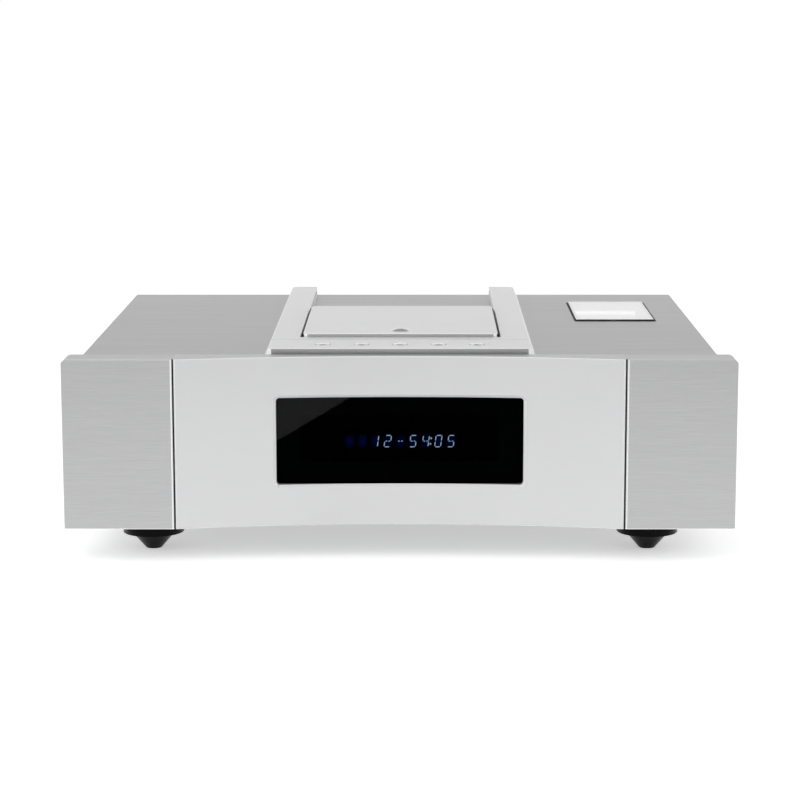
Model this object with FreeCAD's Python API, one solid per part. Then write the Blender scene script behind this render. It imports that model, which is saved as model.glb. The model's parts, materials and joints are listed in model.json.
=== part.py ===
import FreeCAD, Part
import math
import os

# Top-loading disc player with a valve output stage. Millimetres. X runs to the right
# seen from the front, Y to the back, Z up. While it is modelled, Y = 0 is the plane of
# the panel's front corners and Z = 0 is the surface that the feet stand on. write_nodes
# moves everything along Y so that the origin lies under the middle of the whole player.

V = FreeCAD.Vector

# How far a cutting shape reaches past what it cuts, and how near two levels count as one
past = 1.0
tolerance = 0.001

# Front panel, in a hollowed middle piece and two flat end blocks
panel_width = 450.0
panel_height = 115.0
panel_drop = 1.0
centre_width = 301.2
front_hollow = 15.0
groove_width = 1.2
groove_depth = 3.0
groove_chamfer = 1.0
end_top_radius = 4.5
end_bottom_radius = 2.0
panel_edge_chamfer = 0.5

# Display
opening_width = 166.0
opening_height = 59.2
opening_radius = 2.5
opening_bevel = 1.8
lens_setback = 1.8
lens_thickness = 3.0
lens_lap = 4.0
lens_clearance = 0.2
lens_to_panel_back = 3.2
tube_glass_width = 132.0
tube_glass_height = 30.0
tube_glass_thickness = 6.5
display_pillar_side = 4.0
display_gap = 0.7
display_board_width = 160.0
display_board_height = 46.0
subframe_window_gap = 1.0

# Case
case_width = 430.0
case_depth = 336.0
cover_step = 2.3
cover_thickness = 4.0
cover_edge_chamfer = 0.4
side_thickness = 6.0
ledge_width = 12.0
ledge_thickness = 4.0
subframe_thickness = 3.0
rear_thickness = 3.0
bottom_thickness = 2.0
board_thickness = 1.6
vent_count = 5
vent_width = 3.0
vent_pitch = 7.0
vent_reach = 36.0
vent_top_gap = 14.0

# Feet
foot_height = 25.0
foot_disc_radius = 21.0
foot_disc_height = 14.0
foot_disc_chamfer = 0.6
foot_cone_radius = 14.2
foot_tip_radius = 5.2
foot_spacing_x = 341.0
foot_inset_y = 52.0

# Guide frame and the button bar in front of it
guide_width = 177.6
guide_height = 6.1
guide_flank_angle = 24.0
guide_corner_cut = 2.2
bar_setback = 3.2
bar_depth = 40.6
bar_joint_gap = 0.5
crossbar_depth = 11.0
arm_overhang = 3.0
arm_end_radius = 5.0
guide_edge_chamfer = 0.5

# Sliding lid
lid_width = 135.1
lid_length = 146.0
lid_rise = 2.5
lid_under_gap = 1.3
lid_skin = 3.0
lid_rim = 5.0
lid_corner_radius = 5.0
lid_edge_chamfer = 0.6
lid_front_gap = 0.5
lid_side_gap = 1.6
lid_travel = 134.0
runner_lift = 3.0
runner_thickness = 1.4
runner_proud = 3.4
runner_seat = 2.5
runner_inset = 10.0
runner_clearance = 0.3
knob_radius = 7.0
knob_height = 1.8
knob_setback = 15.0

# Buttons, and the board of low switches in a channel under the bar
button_count = 5
button_pitch = 26.2
button_radius = 4.9
button_clearance = 0.5
button_shoulder = 0.2
button_proud = 0.9
button_travel = 0.8
button_setback = 18.0
button_flange = 1.1
button_flange_thickness = 1.0
button_stop_gap = 0.05
switch_side = 6.0
switch_height = 1.0
switch_board_thickness = 0.8
channel_margin = 8.0
channel_clearance = 0.3

# Disc, its well and the transport deck
disc_radius = 60.0
disc_depth = 10.7
spindle_setback = 71.2
well_clearance = 1.5
well_wall = 2.5
well_floor = 2.0
well_floor_drop = 5.0
well_flange_side = 148.0
well_flange_thickness = 2.0
well_rim_drop = 0.3
scoop_radius = 9.0
scoop_offset = 56.5
cover_hole_clearance = 0.3
deck_width = 148.0
deck_front = 84.0
deck_back = 66.0
deck_thickness = 3.0
deck_depth = 22.0
post_spacing_x = 132.0
post_spacing_y = 116.0
post_radius = 3.5
grommet_radius = 6.0
grommet_height = 4.0
shaft_hole_clearance = 1.0

# Spindle
spindle_motor_radius = 14.0
spindle_motor_height = 12.0
motor_base = 1.5
shaft_end_gap = 0.5
shaft_radius = 1.0
running_clearance = 0.05
seat_clearance = 0.02
platter_radius = 17.0
platter_thickness = 3.0
platter_boss_radius = 5.0
boss_hole_clearance = 3.0
boss_gap = 0.6
centring_radius = 7.4
centring_top_radius = 5.2
centring_height = 3.0
puck_radius = 16.0
puck_height = 7.0
puck_bore_clearance = 0.4
puck_step = 2.0
puck_rim = 1.5
puck_dish = 1.0

# Laser sled and its rods
read_inner_radius = 23.0
read_outer_radius = 58.0
rod_spacing = 40.0
rod_radius = 1.5
rod_lift = 7.0
rod_front_gap = 4.0
rod_back_gap = 3.0
holder_width = 6.0
holder_length = 5.0
holder_height = 10.0
sled_margin = 4.0
sled_inner_length = 8.0
sled_outer_length = 14.0
sled_height = 11.0
sled_lift = 2.5
sled_skin = 5.0
sled_rail = 9.0
turret_radius = 4.5
lens_radius = 2.4
lens_proud = 0.8
lens_working_gap = 1.5
slot_clearance = 1.0

# Gears: the motor's pinion drives the large wheel of the sled gear, whose small wheel
# drives the rack along the sled
gear_module = 0.8
pressure_angle = 20.0
backlash = 0.12
rack_wheel_teeth = 14
large_wheel_teeth = 32
motor_pinion_teeth = 12
rack_teeth = 17
addendum_share = 0.8
dedendum_share = 1.25
large_wheel_thickness = 1.5
rack_thickness = 3.0
rack_back = 2.0
rack_lead_teeth = 2
gear_overlap = 0.4
gear_pin_proud = 0.8
pinion_overlap = 0.4
pinion_shaft_reach = 5.0
gear_deck_gap = 0.6
gear_level_gap = 0.7
gear_pin_radius = 1.0
gear_station = 50.0
motor_direction = 160.0
sled_motor_radius = 8.0
sled_motor_height = 14.0

# Window over the valves
window_left = 130.0
window_front = 203.0
window_width = 58.0
window_length = 103.0
window_proud = 1.2
window_glass = 4.0
window_edge_chamfer = 0.3
gasket_width = 1.4
gasket_lip = 2.0
gasket_proud = 0.2

# Valve stage
valve_radius = 10.5
valve_height = 50.0
valve_shoulder = 5.0
valve_tip_radius = 2.4
valve_tip_height = 4.0
valve_glass = 0.9
valve_base_thickness = 2.0
valve_pitch = 50.0
valve_top_gap = 6.0
electrode_width = 5.4
electrode_depth = 8.0
electrode_height = 24.0
electrode_gap = 1.0
electrode_leg = 5.0
spacer_thickness = 0.6
spacer_overhang = 0.6
stem_radius = 0.6
getter_radius = 3.2
anode_cut = 1.8
socket_radius = 11.5
socket_height = 10.0

# Boards and power supply
board_lift = 12.0
board_side_gap = 2.0
main_board_width = 120.0
main_board_length = 120.0
board_front_gap = 20.0
standoff_radius = 3.0
standoff_inset = 4.0
main_chips = ((0.25, 0.3, 18.0), (0.65, 0.3, 12.0), (0.65, 0.62, 10.0), (0.28, 0.66, 14.0))
transformer_radius = 50.0
transformer_bore = 18.0
transformer_height = 44.0
transformer_chamfer = 6.0
transformer_x = -142.0
transformer_rear_gap = 22.0
clamp_radius = 32.0
clamp_thickness = 2.0
clamp_bolt_radius = 3.0
clamp_head_radius = 6.0
clamp_head_height = 3.0
capacitor_radius = 15.0
capacitor_height = 40.0
capacitor_pitch = 36.0
capacitor_front_gap = 36.0
sink_width = 80.0
sink_depth = 18.0
sink_height = 30.0
sink_fins = 9
sink_base = 4.0
sink_rear_gap = 18.0
fin_thickness = 3.0
chip_height = 2.0

# Rear connectors
jack_reach = 9.0
jack_sleeve_radius = 4.15
jack_sleeve_wall = 0.55
jack_recess = 1.0
jack_pin_bore = 1.6
jack_nut_radius = 6.9
jack_nut_thickness = 2.2
jack_neck_length = 9.0
jack_height = 78.0
jack_positions = (30.0, 52.0, 90.0)
inlet_x = -150.0
inlet_height = 74.0
inlet_flange_width = 50.0
inlet_flange_height = 34.0
inlet_flange_thickness = 2.5
inlet_flange_radius = 3.0
inlet_body_width = 31.0
inlet_body_height = 31.0
inlet_body_depth = 24.0
inlet_socket_width = 24.5
inlet_socket_height = 16.5
inlet_socket_depth = 17.0
inlet_socket_corner = 5.0
inlet_socket_lift = 5.0
blade_width = 2.0
blade_height = 4.0
blade_spacing = 14.0
blade_length = 14.0
earth_lift = 2.0
drawer_width = 24.0
drawer_height = 6.5
drawer_depth = 18.0
drawer_wall = 1.2
drawer_lip = 1.5
drawer_grip = 8.0
drawer_gap = 0.3
drawer_drop = 10.5
rocker_x = -98.0
rocker_height = 74.0
rocker_width = 11.0
rocker_length = 18.0
rocker_tilt = 10.0
rocker_thickness = 6.0
rocker_pin_depth = 2.5
rocker_ridge = 0.6
rocker_back = 3.0
rocker_body_width = 13.0
rocker_body_length = 21.5
rocker_body_depth = 16.0
rocker_bezel = 2.0
rocker_bezel_thickness = 2.0
rocker_clearance = 0.4
rocker_swing_clearance = 0.8
rocker_pin_radius = 1.2
panel_cut_clearance = 0.2

# Levels and planes that follow from the sizes above
panel_thickness = front_hollow + lens_setback + lens_thickness + lens_to_panel_back
panel_bottom = foot_height - panel_drop
panel_top = panel_bottom + panel_height
cover_top = panel_top - cover_step
cover_under = cover_top - cover_thickness
floor_top = foot_height + bottom_thickness
case_front = panel_thickness
case_back = case_front + case_depth
rear_inside = case_back - rear_thickness
inside_half = case_width / 2 - side_thickness
guide_top = cover_top + guide_height
flank_run = guide_height * math.tan(math.radians(guide_flank_angle))
bar_front = case_front + bar_setback
bar_back = bar_front + bar_depth
crossbar_front = bar_back + bar_joint_gap
crossbar_back = crossbar_front + crossbar_depth
lid_front = crossbar_back + lid_front_gap
lid_back = lid_front + lid_length
lid_under = cover_top + lid_under_gap
lid_top = guide_top + lid_rise
track_half = lid_width / 2 + lid_side_gap
arm_back = case_back + arm_overhang
spindle_y = lid_front + spindle_setback
well_radius = disc_radius + well_clearance
disc_level = cover_top - disc_depth
valve_base = cover_under - valve_top_gap - valve_tip_height - valve_height
tube_board_level = valve_base - socket_height - board_thickness
board_level = floor_top + board_lift
well_floor_top = disc_level - well_floor_drop
well_floor_under = well_floor_top - well_floor
deck_top = disc_level - deck_depth
deck_under = deck_top - deck_thickness
lens_front = front_hollow + lens_setback
opening_middle = panel_bottom + panel_height / 2
overall_depth = case_back + jack_reach
button_y = bar_front + button_setback
rod_level = deck_top + rod_lift
sled_under = deck_top + sled_lift
sled_top = sled_under + sled_height
pinion_shaft_end = deck_under - pinion_shaft_reach
inner_read_y = spindle_y - read_inner_radius
read_travel = read_outer_radius - read_inner_radius


def block(x0, x1, y0, y1, z0, z1):
    return Part.makeBox(x1 - x0, y1 - y0, z1 - z0, V(x0, y0, z0))


def rod(radius, start, direction, length):
    return Part.makeCylinder(radius, length, start, direction)


def post(radius, x, y, z0, z1):
    return rod(radius, V(x, y, z0), V(0, 0, 1), z1 - z0)


def hexagon(radius, x, y, z0, z1):
    points = [V(x + radius * math.cos(math.radians(angle)), y + radius * math.sin(math.radians(angle)), z0)
              for angle in range(0, 360, 60)]
    return prism(points, V(0, 0, z1 - z0))


def prism(points, direction):
    outline = Part.makePolygon([*points, points[0]])
    return Part.Face(outline).extrude(direction)


def rounded(solid, radius, direction):
    """A solid with every straight edge that runs along direction rounded."""
    edges = []
    for edge in solid.Edges:
        span = edge.valueAt(edge.LastParameter) - edge.valueAt(edge.FirstParameter)
        if abs(abs(span.dot(direction)) - span.Length) < tolerance:
            edges.append(edge)
    return solid.makeFillet(radius, edges)


def rounded_plate(x, y, width, length, z0, z1, radius):
    half_w = width / 2
    half_l = length / 2
    return rounded(block(x - half_w, x + half_w, y - half_l, y + half_l, z0, z1), radius, V(0, 0, 1))


def upright_block(x, z, width, height, y0, y1):
    """A plate that stands facing the front, between two depths."""
    return block(x - width / 2, x + width / 2, y0, y1, z - height / 2, z + height / 2)


def upright_plate(x, z, width, height, y0, y1, radius):
    return rounded(upright_block(x, z, width, height, y0, y1), radius, V(0, 1, 0))


def revolve(points, x, y):
    """A solid turned about the upright axis at (x, y) from (radius, level) points."""
    outline = [V(radius, 0, level) for radius, level in points]
    face = Part.Face(Part.makePolygon([*outline, outline[0]]))
    solid = face.revolve(V(0, 0, 0), V(0, 0, 1), 360)
    solid.translate(V(x, y, 0))
    return solid


def corners(spacing_x, spacing_y, x=0.0, y=0.0):
    half_x = spacing_x / 2
    half_y = spacing_y / 2
    return [(x + sx * half_x, y + sy * half_y) for sx in (-1, 1) for sy in (-1, 1)]


def spread(count, start, end):
    step = (end - start) / (count - 1)
    return [start + index * step for index in range(count)]


def chamfered(solid, size, wanted):
    edges = [edge for edge in solid.Edges if wanted(edge)]
    return solid.makeChamfer(size, edges)


def at_level(level):
    def test(edge):
        box = edge.BoundBox
        return abs(box.ZMin - level) < tolerance and abs(box.ZMax - level) < tolerance
    return test


# Front panel

def groove_side(inner):
    """Plan points down one piece's side of the groove, for a piece on the side inner = 1 or -1."""
    joint = centre_width / 2
    face = joint - inner * groove_width / 2
    return [
        V(face - inner * groove_chamfer, 0, 0),
        V(face, groove_chamfer, 0),
        V(face, groove_depth, 0),
        V(joint, groove_depth, 0),
        V(joint, panel_thickness, 0),
    ]


def front_edge(edge):
    """Whether an edge runs along the top or the bottom of a panel piece's front."""
    box = edge.BoundBox
    at_end = at_level(panel_bottom)(edge) or at_level(panel_top)(edge)
    return at_end and box.XLength > groove_depth and box.YMax < panel_thickness - past


def panel_centre():
    right = groove_side(1)
    left = [V(-point.x, point.y, 0) for point in reversed(right)]
    arc = Part.Arc(left[-1], V(0, front_hollow, 0), right[0]).toShape()
    outline = [*right, *left]
    lines = [Part.makeLine(a, b) for a, b in zip(outline[:-1], outline[1:])]
    face = Part.Face(Part.Wire([arc, *lines]))
    face.translate(V(0, 0, panel_bottom))
    solid = face.extrude(V(0, 0, panel_height))
    solid = chamfered(solid, panel_edge_chamfer, front_edge)
    opening = upright_plate(0, opening_middle, opening_width, opening_height, -past,
                            panel_thickness + past, opening_radius)
    solid = solid.cut(opening)
    around = opening.BoundBox
    around.enlarge(past)
    solid = chamfered(solid, opening_bevel, lambda edge: around.isInside(edge.BoundBox)
                      and edge.BoundBox.YMax < panel_thickness - past)
    rebate = upright_block(0, opening_middle, opening_width + 2 * lens_lap, opening_height + 2 * lens_lap,
                           lens_front, panel_thickness + past)
    return solid.cut(rebate)


def panel_end(side):
    outer = panel_width / 2
    edge = panel_edge_chamfer
    points = [*groove_side(-1), V(outer, panel_thickness, 0), V(outer, edge, 0), V(outer - edge, 0, 0)]
    solid = prism(points, V(0, 0, panel_height))
    solid.translate(V(0, 0, panel_bottom))
    solid = chamfered(solid, panel_edge_chamfer, front_edge)
    solid = solid.cut([outer_corner(panel_top, -1, end_top_radius),
                       outer_corner(panel_bottom, 1, end_bottom_radius)])
    return solid if side > 0 else solid.mirror(V(0, 0, 0), V(1, 0, 0))


def outer_corner(level, inwards, radius):
    """What rounding takes off the panel's outer end, at its top or its bottom."""
    centre = V(panel_width / 2 - radius, -past, level + inwards * radius)
    square = block(centre.x, panel_width / 2 + past, -past, panel_thickness + past,
                   *sorted((centre.z, level - inwards * past)))
    return square.cut(rod(radius, centre, V(0, 1, 0), panel_thickness + 2 * past))


# Display

def display_lens():
    lap = 2 * (lens_lap - lens_clearance)
    return upright_block(0, opening_middle, opening_width + lap, opening_height + lap,
                         lens_front, lens_front + lens_thickness)


def display_tube():
    front = lens_front + lens_thickness + display_gap
    return upright_block(0, opening_middle, tube_glass_width, tube_glass_height,
                         front, front + tube_glass_thickness)


def display_board():
    """The circuit board behind the display glass, on four short pillars from the subframe."""
    front = lens_front + lens_thickness + display_gap + tube_glass_thickness
    plate = upright_block(0, opening_middle, display_board_width, display_board_height,
                          front, front + board_thickness)
    side = display_pillar_side
    pillars = [upright_block(x, z, side, side, case_front + subframe_thickness, front)
               for x, z in corners(display_board_width - 2 * side, display_board_height - 2 * side,
                                   0, opening_middle)]
    return plate.fuse(pillars)


def front_subframe():
    plate = block(-inside_half, inside_half, case_front, case_front + subframe_thickness,
                  floor_top, cover_under)
    gap = 2 * subframe_window_gap
    window = upright_block(0, opening_middle, tube_glass_width + gap, tube_glass_height + gap,
                           case_front - past, case_front + subframe_thickness + past)
    return plate.cut(window)


# Case

def side_plate(side):
    """An extruded channel: a thick outer wall with a ledge along its top and its bottom."""
    outer = case_width / 2
    inner = inside_half
    lip = inner - ledge_width
    points = [
        V(outer, case_front, foot_height), V(outer, case_front, cover_under),
        V(lip, case_front, cover_under), V(lip, case_front, cover_under - ledge_thickness),
        V(inner, case_front, cover_under - ledge_thickness),
        V(inner, case_front, floor_top + ledge_thickness),
        V(lip, case_front, floor_top + ledge_thickness), V(lip, case_front, floor_top),
        V(inner, case_front, floor_top), V(inner, case_front, foot_height),
    ]
    solid = prism(points, V(0, case_depth, 0))
    solid = solid.cut([
        block(0, inner, case_front - past, case_front + subframe_thickness, 0, panel_top),
        block(0, inner, rear_inside, case_back + past, 0, panel_top),
    ])
    return solid if side > 0 else solid.mirror(V(0, 0, 0), V(1, 0, 0))


def well_opening(radius, scoop, z0, z1):
    """The well's outline: the disc's circle with a finger scoop at the left and the right."""
    parts = [post(scoop, side * scoop_offset, spindle_y, z0, z1) for side in (-1, 1)]
    return post(radius, 0, spindle_y, z0, z1).fuse(parts).removeSplitter()


def top_cover():
    half = case_width / 2
    plate = block(-half, half, case_front, case_back, cover_under, cover_top)
    plate = chamfered(plate, cover_edge_chamfer,
                      lambda edge: at_level(cover_top)(edge) and edge.BoundBox.YMax > case_front + past)
    gap = cover_hole_clearance
    low = cover_under - past
    high = cover_top + past
    well = well_opening(well_radius + well_wall + gap, scoop_radius + well_wall + gap, low, high)
    return plate.cut([well, window_hole(gasket_width + seat_clearance, low, high)])


def window_hole(margin, z0, z1):
    """The window's outline, grown by a margin all round, between two levels."""
    return block(window_left - margin, window_left + window_width + margin,
                 window_front - margin, window_front + window_length + margin, z0, z1)


def window_middle():
    return window_left + window_width / 2, window_front + window_length / 2


def bottom_plate():
    plate = block(-inside_half, inside_half, case_front, rear_inside, foot_height, floor_top)
    middle_x, middle_y = window_middle()
    slots = [block(middle_x - window_width / 2, middle_x + window_width / 2, y - vent_width / 2,
                   y + vent_width / 2, foot_height - past, floor_top + past)
             for y in spread(vent_count, middle_y - vent_reach, middle_y + vent_reach)]
    return plate.cut(slots)


def rear_panel():
    plate = block(-inside_half, inside_half, rear_inside, case_back, foot_height, cover_under)
    gap = panel_cut_clearance
    y0 = rear_inside - past
    y1 = case_back + past
    inlet = upright_block(inlet_x, inlet_height, inlet_body_width + 2 * gap, inlet_body_height + 2 * gap,
                          y0, y1)
    switch = upright_block(rocker_x, rocker_height, rocker_body_width + 2 * gap, rocker_body_length + 2 * gap,
                           y0, y1)
    jacks = [rod(jack_sleeve_radius + gap, V(x, y0, jack_height), V(0, 1, 0), y1 - y0)
             for x in jack_positions]
    middle_x = window_middle()[0]
    top_slot = cover_under - vent_top_gap
    vents = [upright_block(middle_x, top_slot - index * vent_pitch, window_width, vent_width, y0, y1)
             for index in range(vent_count)]
    return plate.cut([inlet, switch, *jacks, *vents])


# Feet

def foot_places():
    return corners(foot_spacing_x, case_back - 2 * foot_inset_y, 0, case_back / 2)


def foot(x, y):
    """A disc with its lower rim broken, and a cone under it that ends in a small flat."""
    disc_under = foot_height - foot_disc_height
    points = [
        (0, 0), (foot_tip_radius, 0), (foot_cone_radius, disc_under),
        (foot_disc_radius - foot_disc_chamfer, disc_under),
        (foot_disc_radius, disc_under + foot_disc_chamfer), (foot_disc_radius, foot_height), (0, foot_height),
    ]
    return revolve(points, x, y)


# Guide frame, button bar and buttons

def flanked_bar(y0, y1):
    """A bar right across the guide frame, whose two ends lean outwards towards the cover."""
    half = guide_width / 2
    points = [
        V(-half, y0, guide_top), V(half, y0, guide_top),
        V(half + flank_run, y0, cover_top), V(-half - flank_run, y0, cover_top),
    ]
    return prism(points, V(0, y1 - y0, 0))


def corner_cut(side):
    """The upright wedge that takes off a front corner of the button bar at 45 degrees."""
    face = guide_width / 2 - guide_corner_cut
    reach = guide_corner_cut + flank_run + 2 * past
    low = cover_top - past
    points = [
        V(side * (face - past), bar_front - past, low),
        V(side * (face + reach), bar_front - past, low),
        V(side * (face + reach), bar_front + reach, low),
    ]
    return prism(points, V(0, 0, guide_height + 2 * past))


def button_places():
    middle = (button_count - 1) / 2
    return [(index - middle) * button_pitch for index in range(button_count)]


def button_bar():
    """The bar with the buttons' bores, and the channel under it for their switches."""
    solid = flanked_bar(bar_front, bar_back)
    solid = solid.cut([corner_cut(-1), corner_cut(1)])
    solid = chamfered(solid, guide_edge_chamfer,
                      lambda edge: at_level(guide_top)(edge) and edge.BoundBox.YMin < bar_back - past)
    bores = [post(button_radius + button_clearance, x, button_y, cover_top - past, guide_top + past)
             for x in button_places()]
    return solid.cut([*bores, switch_channel(0, flange_top() + button_stop_gap)])


def switch_channel(clearance, top):
    """The space under the bar for the switch board, less a clearance, up to a level."""
    half_x = button_places()[-1] + channel_margin - clearance
    half_y = channel_margin - clearance
    return block(-half_x, half_x, button_y - half_y, button_y + half_y, cover_top, top)


def flange_under():
    return cover_top + switch_board_thickness + switch_height + button_travel + button_stop_gap


def flange_top():
    return flange_under() + button_flange_thickness


def button(x):
    """A cap with a low domed top, and under it the flange that keeps it in the bar."""
    rise = button_proud - button_shoulder
    ball_radius = (button_radius ** 2 + rise ** 2) / (2 * rise)
    half = math.asin(button_radius / ball_radius) / 2
    crown = guide_top + button_proud
    centre = crown - ball_radius
    shoulder = V(button_radius, 0, guide_top + button_shoulder)
    dome = Part.Arc(shoulder, V(ball_radius * math.sin(half), 0, centre + ball_radius * math.cos(half)),
                    V(0, 0, crown)).toShape()
    line = [
        V(0, 0, crown), V(0, 0, flange_under()), V(button_radius + button_flange, 0, flange_under()),
        V(button_radius + button_flange, 0, flange_top()), V(button_radius, 0, flange_top()), shoulder,
    ]
    edges = [Part.makeLine(a, b) for a, b in zip(line[:-1], line[1:])]
    solid = Part.Face(Part.Wire([dome, *edges])).revolve(V(0, 0, 0), V(0, 0, 1), 360)
    solid.translate(V(x, button_y, 0))
    return solid


def button_board():
    """The strip of circuit board in the bar's channel, with a low push switch for each button."""
    top = cover_top + switch_board_thickness
    half = switch_side / 2
    switches = [block(x - half, x + half, button_y - half, button_y + half, top, top + switch_height)
                for x in button_places()]
    return switch_channel(channel_clearance, top).fuse(switches)


def guide_frame():
    """The crossbar behind the buttons and the two arms that the lid slides between."""
    solid = flanked_bar(crossbar_front, arm_back)
    half = guide_width / 2
    low = cover_top - past
    high = guide_top + past
    track = block(-track_half, track_half, crossbar_back, arm_back + past, low, high)
    solid = solid.cut(track)
    lean = flank_run / guide_height
    ends = []
    for side in (-1, 1):
        centre = V(side * (half - arm_end_radius), arm_back - arm_end_radius, low)
        outer = side * (half + flank_run + past)
        square = block(*sorted((centre.x, outer)), centre.y, arm_back + past, low, high)
        cone = Part.makeCone(arm_end_radius + flank_run + lean * past, arm_end_radius - lean * past,
                             high - low, centre)
        ends.append(square.cut(cone))
    solid = solid.cut(ends)
    depth = runner_proud - lid_side_gap + runner_clearance
    low = cover_top + runner_lift - runner_clearance
    high = cover_top + runner_lift + runner_thickness + runner_clearance
    front = lid_front + runner_inset - runner_clearance
    back = lid_back - runner_inset + lid_travel + runner_clearance
    grooves = [block(*sorted((side * (track_half - past), side * (track_half + depth))), front, back,
                     low, high) for side in (-1, 1)]
    solid = solid.cut(grooves)
    return chamfered(solid, guide_edge_chamfer,
                     lambda edge: at_level(guide_top)(edge) and edge.BoundBox.YMax > crossbar_front + past)


# Sliding lid

def sliding_lid():
    """The lid: a plate with a rim all round under it, and a seat along each side for its runner."""
    half = lid_width / 2
    solid = rounded_plate(0, (lid_front + lid_back) / 2, lid_width, lid_length, lid_under, lid_top,
                          lid_corner_radius)
    solid = chamfered(solid, lid_edge_chamfer, at_level(lid_top))
    hollow = block(lid_rim - half, half - lid_rim, lid_front + lid_rim, lid_back - lid_rim,
                   lid_under - past, lid_top - lid_skin)
    return solid.cut([hollow, runner(-1, runner_seat, 0), runner(1, runner_seat, 0)])


def runner(side, depth, proud):
    low = cover_top + runner_lift
    inner = lid_width / 2 - depth
    outer = lid_width / 2 + proud
    return block(*sorted((side * inner, side * outer)), lid_front + runner_inset,
                 lid_back - runner_inset, low, low + runner_thickness)


def lid_runners():
    return [runner(side, runner_seat, runner_proud) for side in (-1, 1)]


def finger_knob():
    """A low dome that a fingertip pulls the lid by."""
    ball_radius = (knob_radius ** 2 + knob_height ** 2) / (2 * knob_height)
    centre = V(0, lid_front + knob_setback, lid_top + knob_height - ball_radius)
    ball = Part.makeSphere(ball_radius, centre)
    keep = post(knob_radius + past, centre.x, centre.y, lid_top, lid_top + knob_height + past)
    return ball.common(keep)


# Disc well and transport deck

def disc_well():
    """The cup that the disc lies in, with its flange under the cover."""
    rim = cover_top - well_rim_drop
    outside = well_opening(well_radius + well_wall, scoop_radius + well_wall, well_floor_under, rim)
    half = well_flange_side / 2
    flange = block(-half, half, spindle_y - half, spindle_y + half, cover_under - well_flange_thickness,
                   cover_under)
    inside = well_opening(well_radius, scoop_radius, well_floor_top, rim + past)
    low = well_floor_under - past
    boss = post(platter_boss_radius + boss_hole_clearance, 0, spindle_y, low, well_floor_top + past)
    slot_half = turret_radius + slot_clearance
    far = inner_read_y - read_travel - slot_half
    slot = block(-slot_half, slot_half, far, inner_read_y, low, disc_level)
    slot_end = post(slot_half, 0, inner_read_y, low, disc_level)
    return outside.fuse(flange).cut([inside, boss, slot, slot_end])


def post_places():
    return corners(post_spacing_x, post_spacing_y, 0, spindle_y)


def deck_posts():
    high = cover_under - well_flange_thickness
    return [hexagon(post_radius, x, y, deck_top + grommet_height, high) for x, y in post_places()]


def deck_grommets():
    return [post(grommet_radius, x, y, deck_top, deck_top + grommet_height) for x, y in post_places()]


def deck_plate():
    """The transport's plate, with a pin for the sled gear and a hole for the pinion's shaft."""
    half = deck_width / 2
    plate = block(-half, half, spindle_y - deck_front, spindle_y + deck_back, deck_under, deck_top)
    hole = post(shaft_radius + shaft_hole_clearance, *motor_place(), deck_under - past, deck_top + past)
    pin = post(gear_pin_radius, *gear_place(), deck_top, wheel_level(2) + gear_pin_proud)
    return plate.cut(hole).fuse(pin)


# Spindle

def spindle_motor():
    high = deck_top + spindle_motor_height
    can = post(spindle_motor_radius, 0, spindle_y, deck_top, high)
    return can.cut(post(shaft_radius + running_clearance, 0, spindle_y, deck_top + motor_base, high + past))


def spindle_shaft():
    return post(shaft_radius, 0, spindle_y, deck_top + motor_base + shaft_end_gap, disc_level)


def turntable():
    """The platter with the cone that centres the disc, a boss under it and the shaft's bore."""
    bore = shaft_radius + seat_clearance
    boss_end = deck_top + spindle_motor_height + boss_gap
    under = disc_level - platter_thickness
    points = [
        (0, disc_level), (bore, disc_level), (bore, boss_end), (platter_boss_radius, boss_end),
        (platter_boss_radius, under), (platter_radius, under), (platter_radius, disc_level),
        (centring_radius, disc_level), (centring_top_radius, disc_level + centring_height),
        (0, disc_level + centring_height),
    ]
    return revolve(points, 0, spindle_y)


def clamp_puck():
    """The magnetic puck that holds the disc down, waisted for the fingers and dished on top."""
    bore = centring_radius + puck_bore_clearance
    top = disc_level + puck_height
    roof = disc_level + centring_height + puck_bore_clearance
    waist = puck_radius - puck_step
    points = [
        (bore, disc_level), (puck_radius, disc_level), (puck_radius, disc_level + puck_rim),
        (waist, disc_level + puck_rim + puck_step), (waist, top), (0, top - puck_dish), (0, roof),
        (bore, roof),
    ]
    return revolve(points, 0, spindle_y)


# Laser sled

def rod_ends():
    """Where the rods meet their holders, past the sled's front and back at its two limits."""
    front = inner_read_y - read_travel - sled_outer_length - rod_front_gap
    return front, inner_read_y + sled_inner_length + rod_back_gap


def holder_places():
    front, back = rod_ends()
    return [(side * rod_spacing / 2, y) for side in (-1, 1)
            for y in (front - holder_length / 2, back + holder_length / 2)]


def guide_rods():
    front, back = rod_ends()
    length = back - front + 2 * holder_length
    return [rod(rod_radius, V(side * rod_spacing / 2, front - holder_length, rod_level), V(0, 1, 0), length)
            for side in (-1, 1)]


def rod_holders():
    """Blocks with an open slot that each rod's ends are pressed down into."""
    slot = rod_radius + seat_clearance
    low = rod_level - slot
    holders = []
    for x, y in holder_places():
        half_w = holder_width / 2
        half_l = holder_length / 2
        body = block(x - half_w, x + half_w, y - half_l, y + half_l, deck_top, deck_top + holder_height)
        holders.append(body.cut(block(x - slot, x + slot, y - half_l - past, y + half_l + past, low,
                                      deck_top + holder_height + past)))
    return holders


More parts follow.
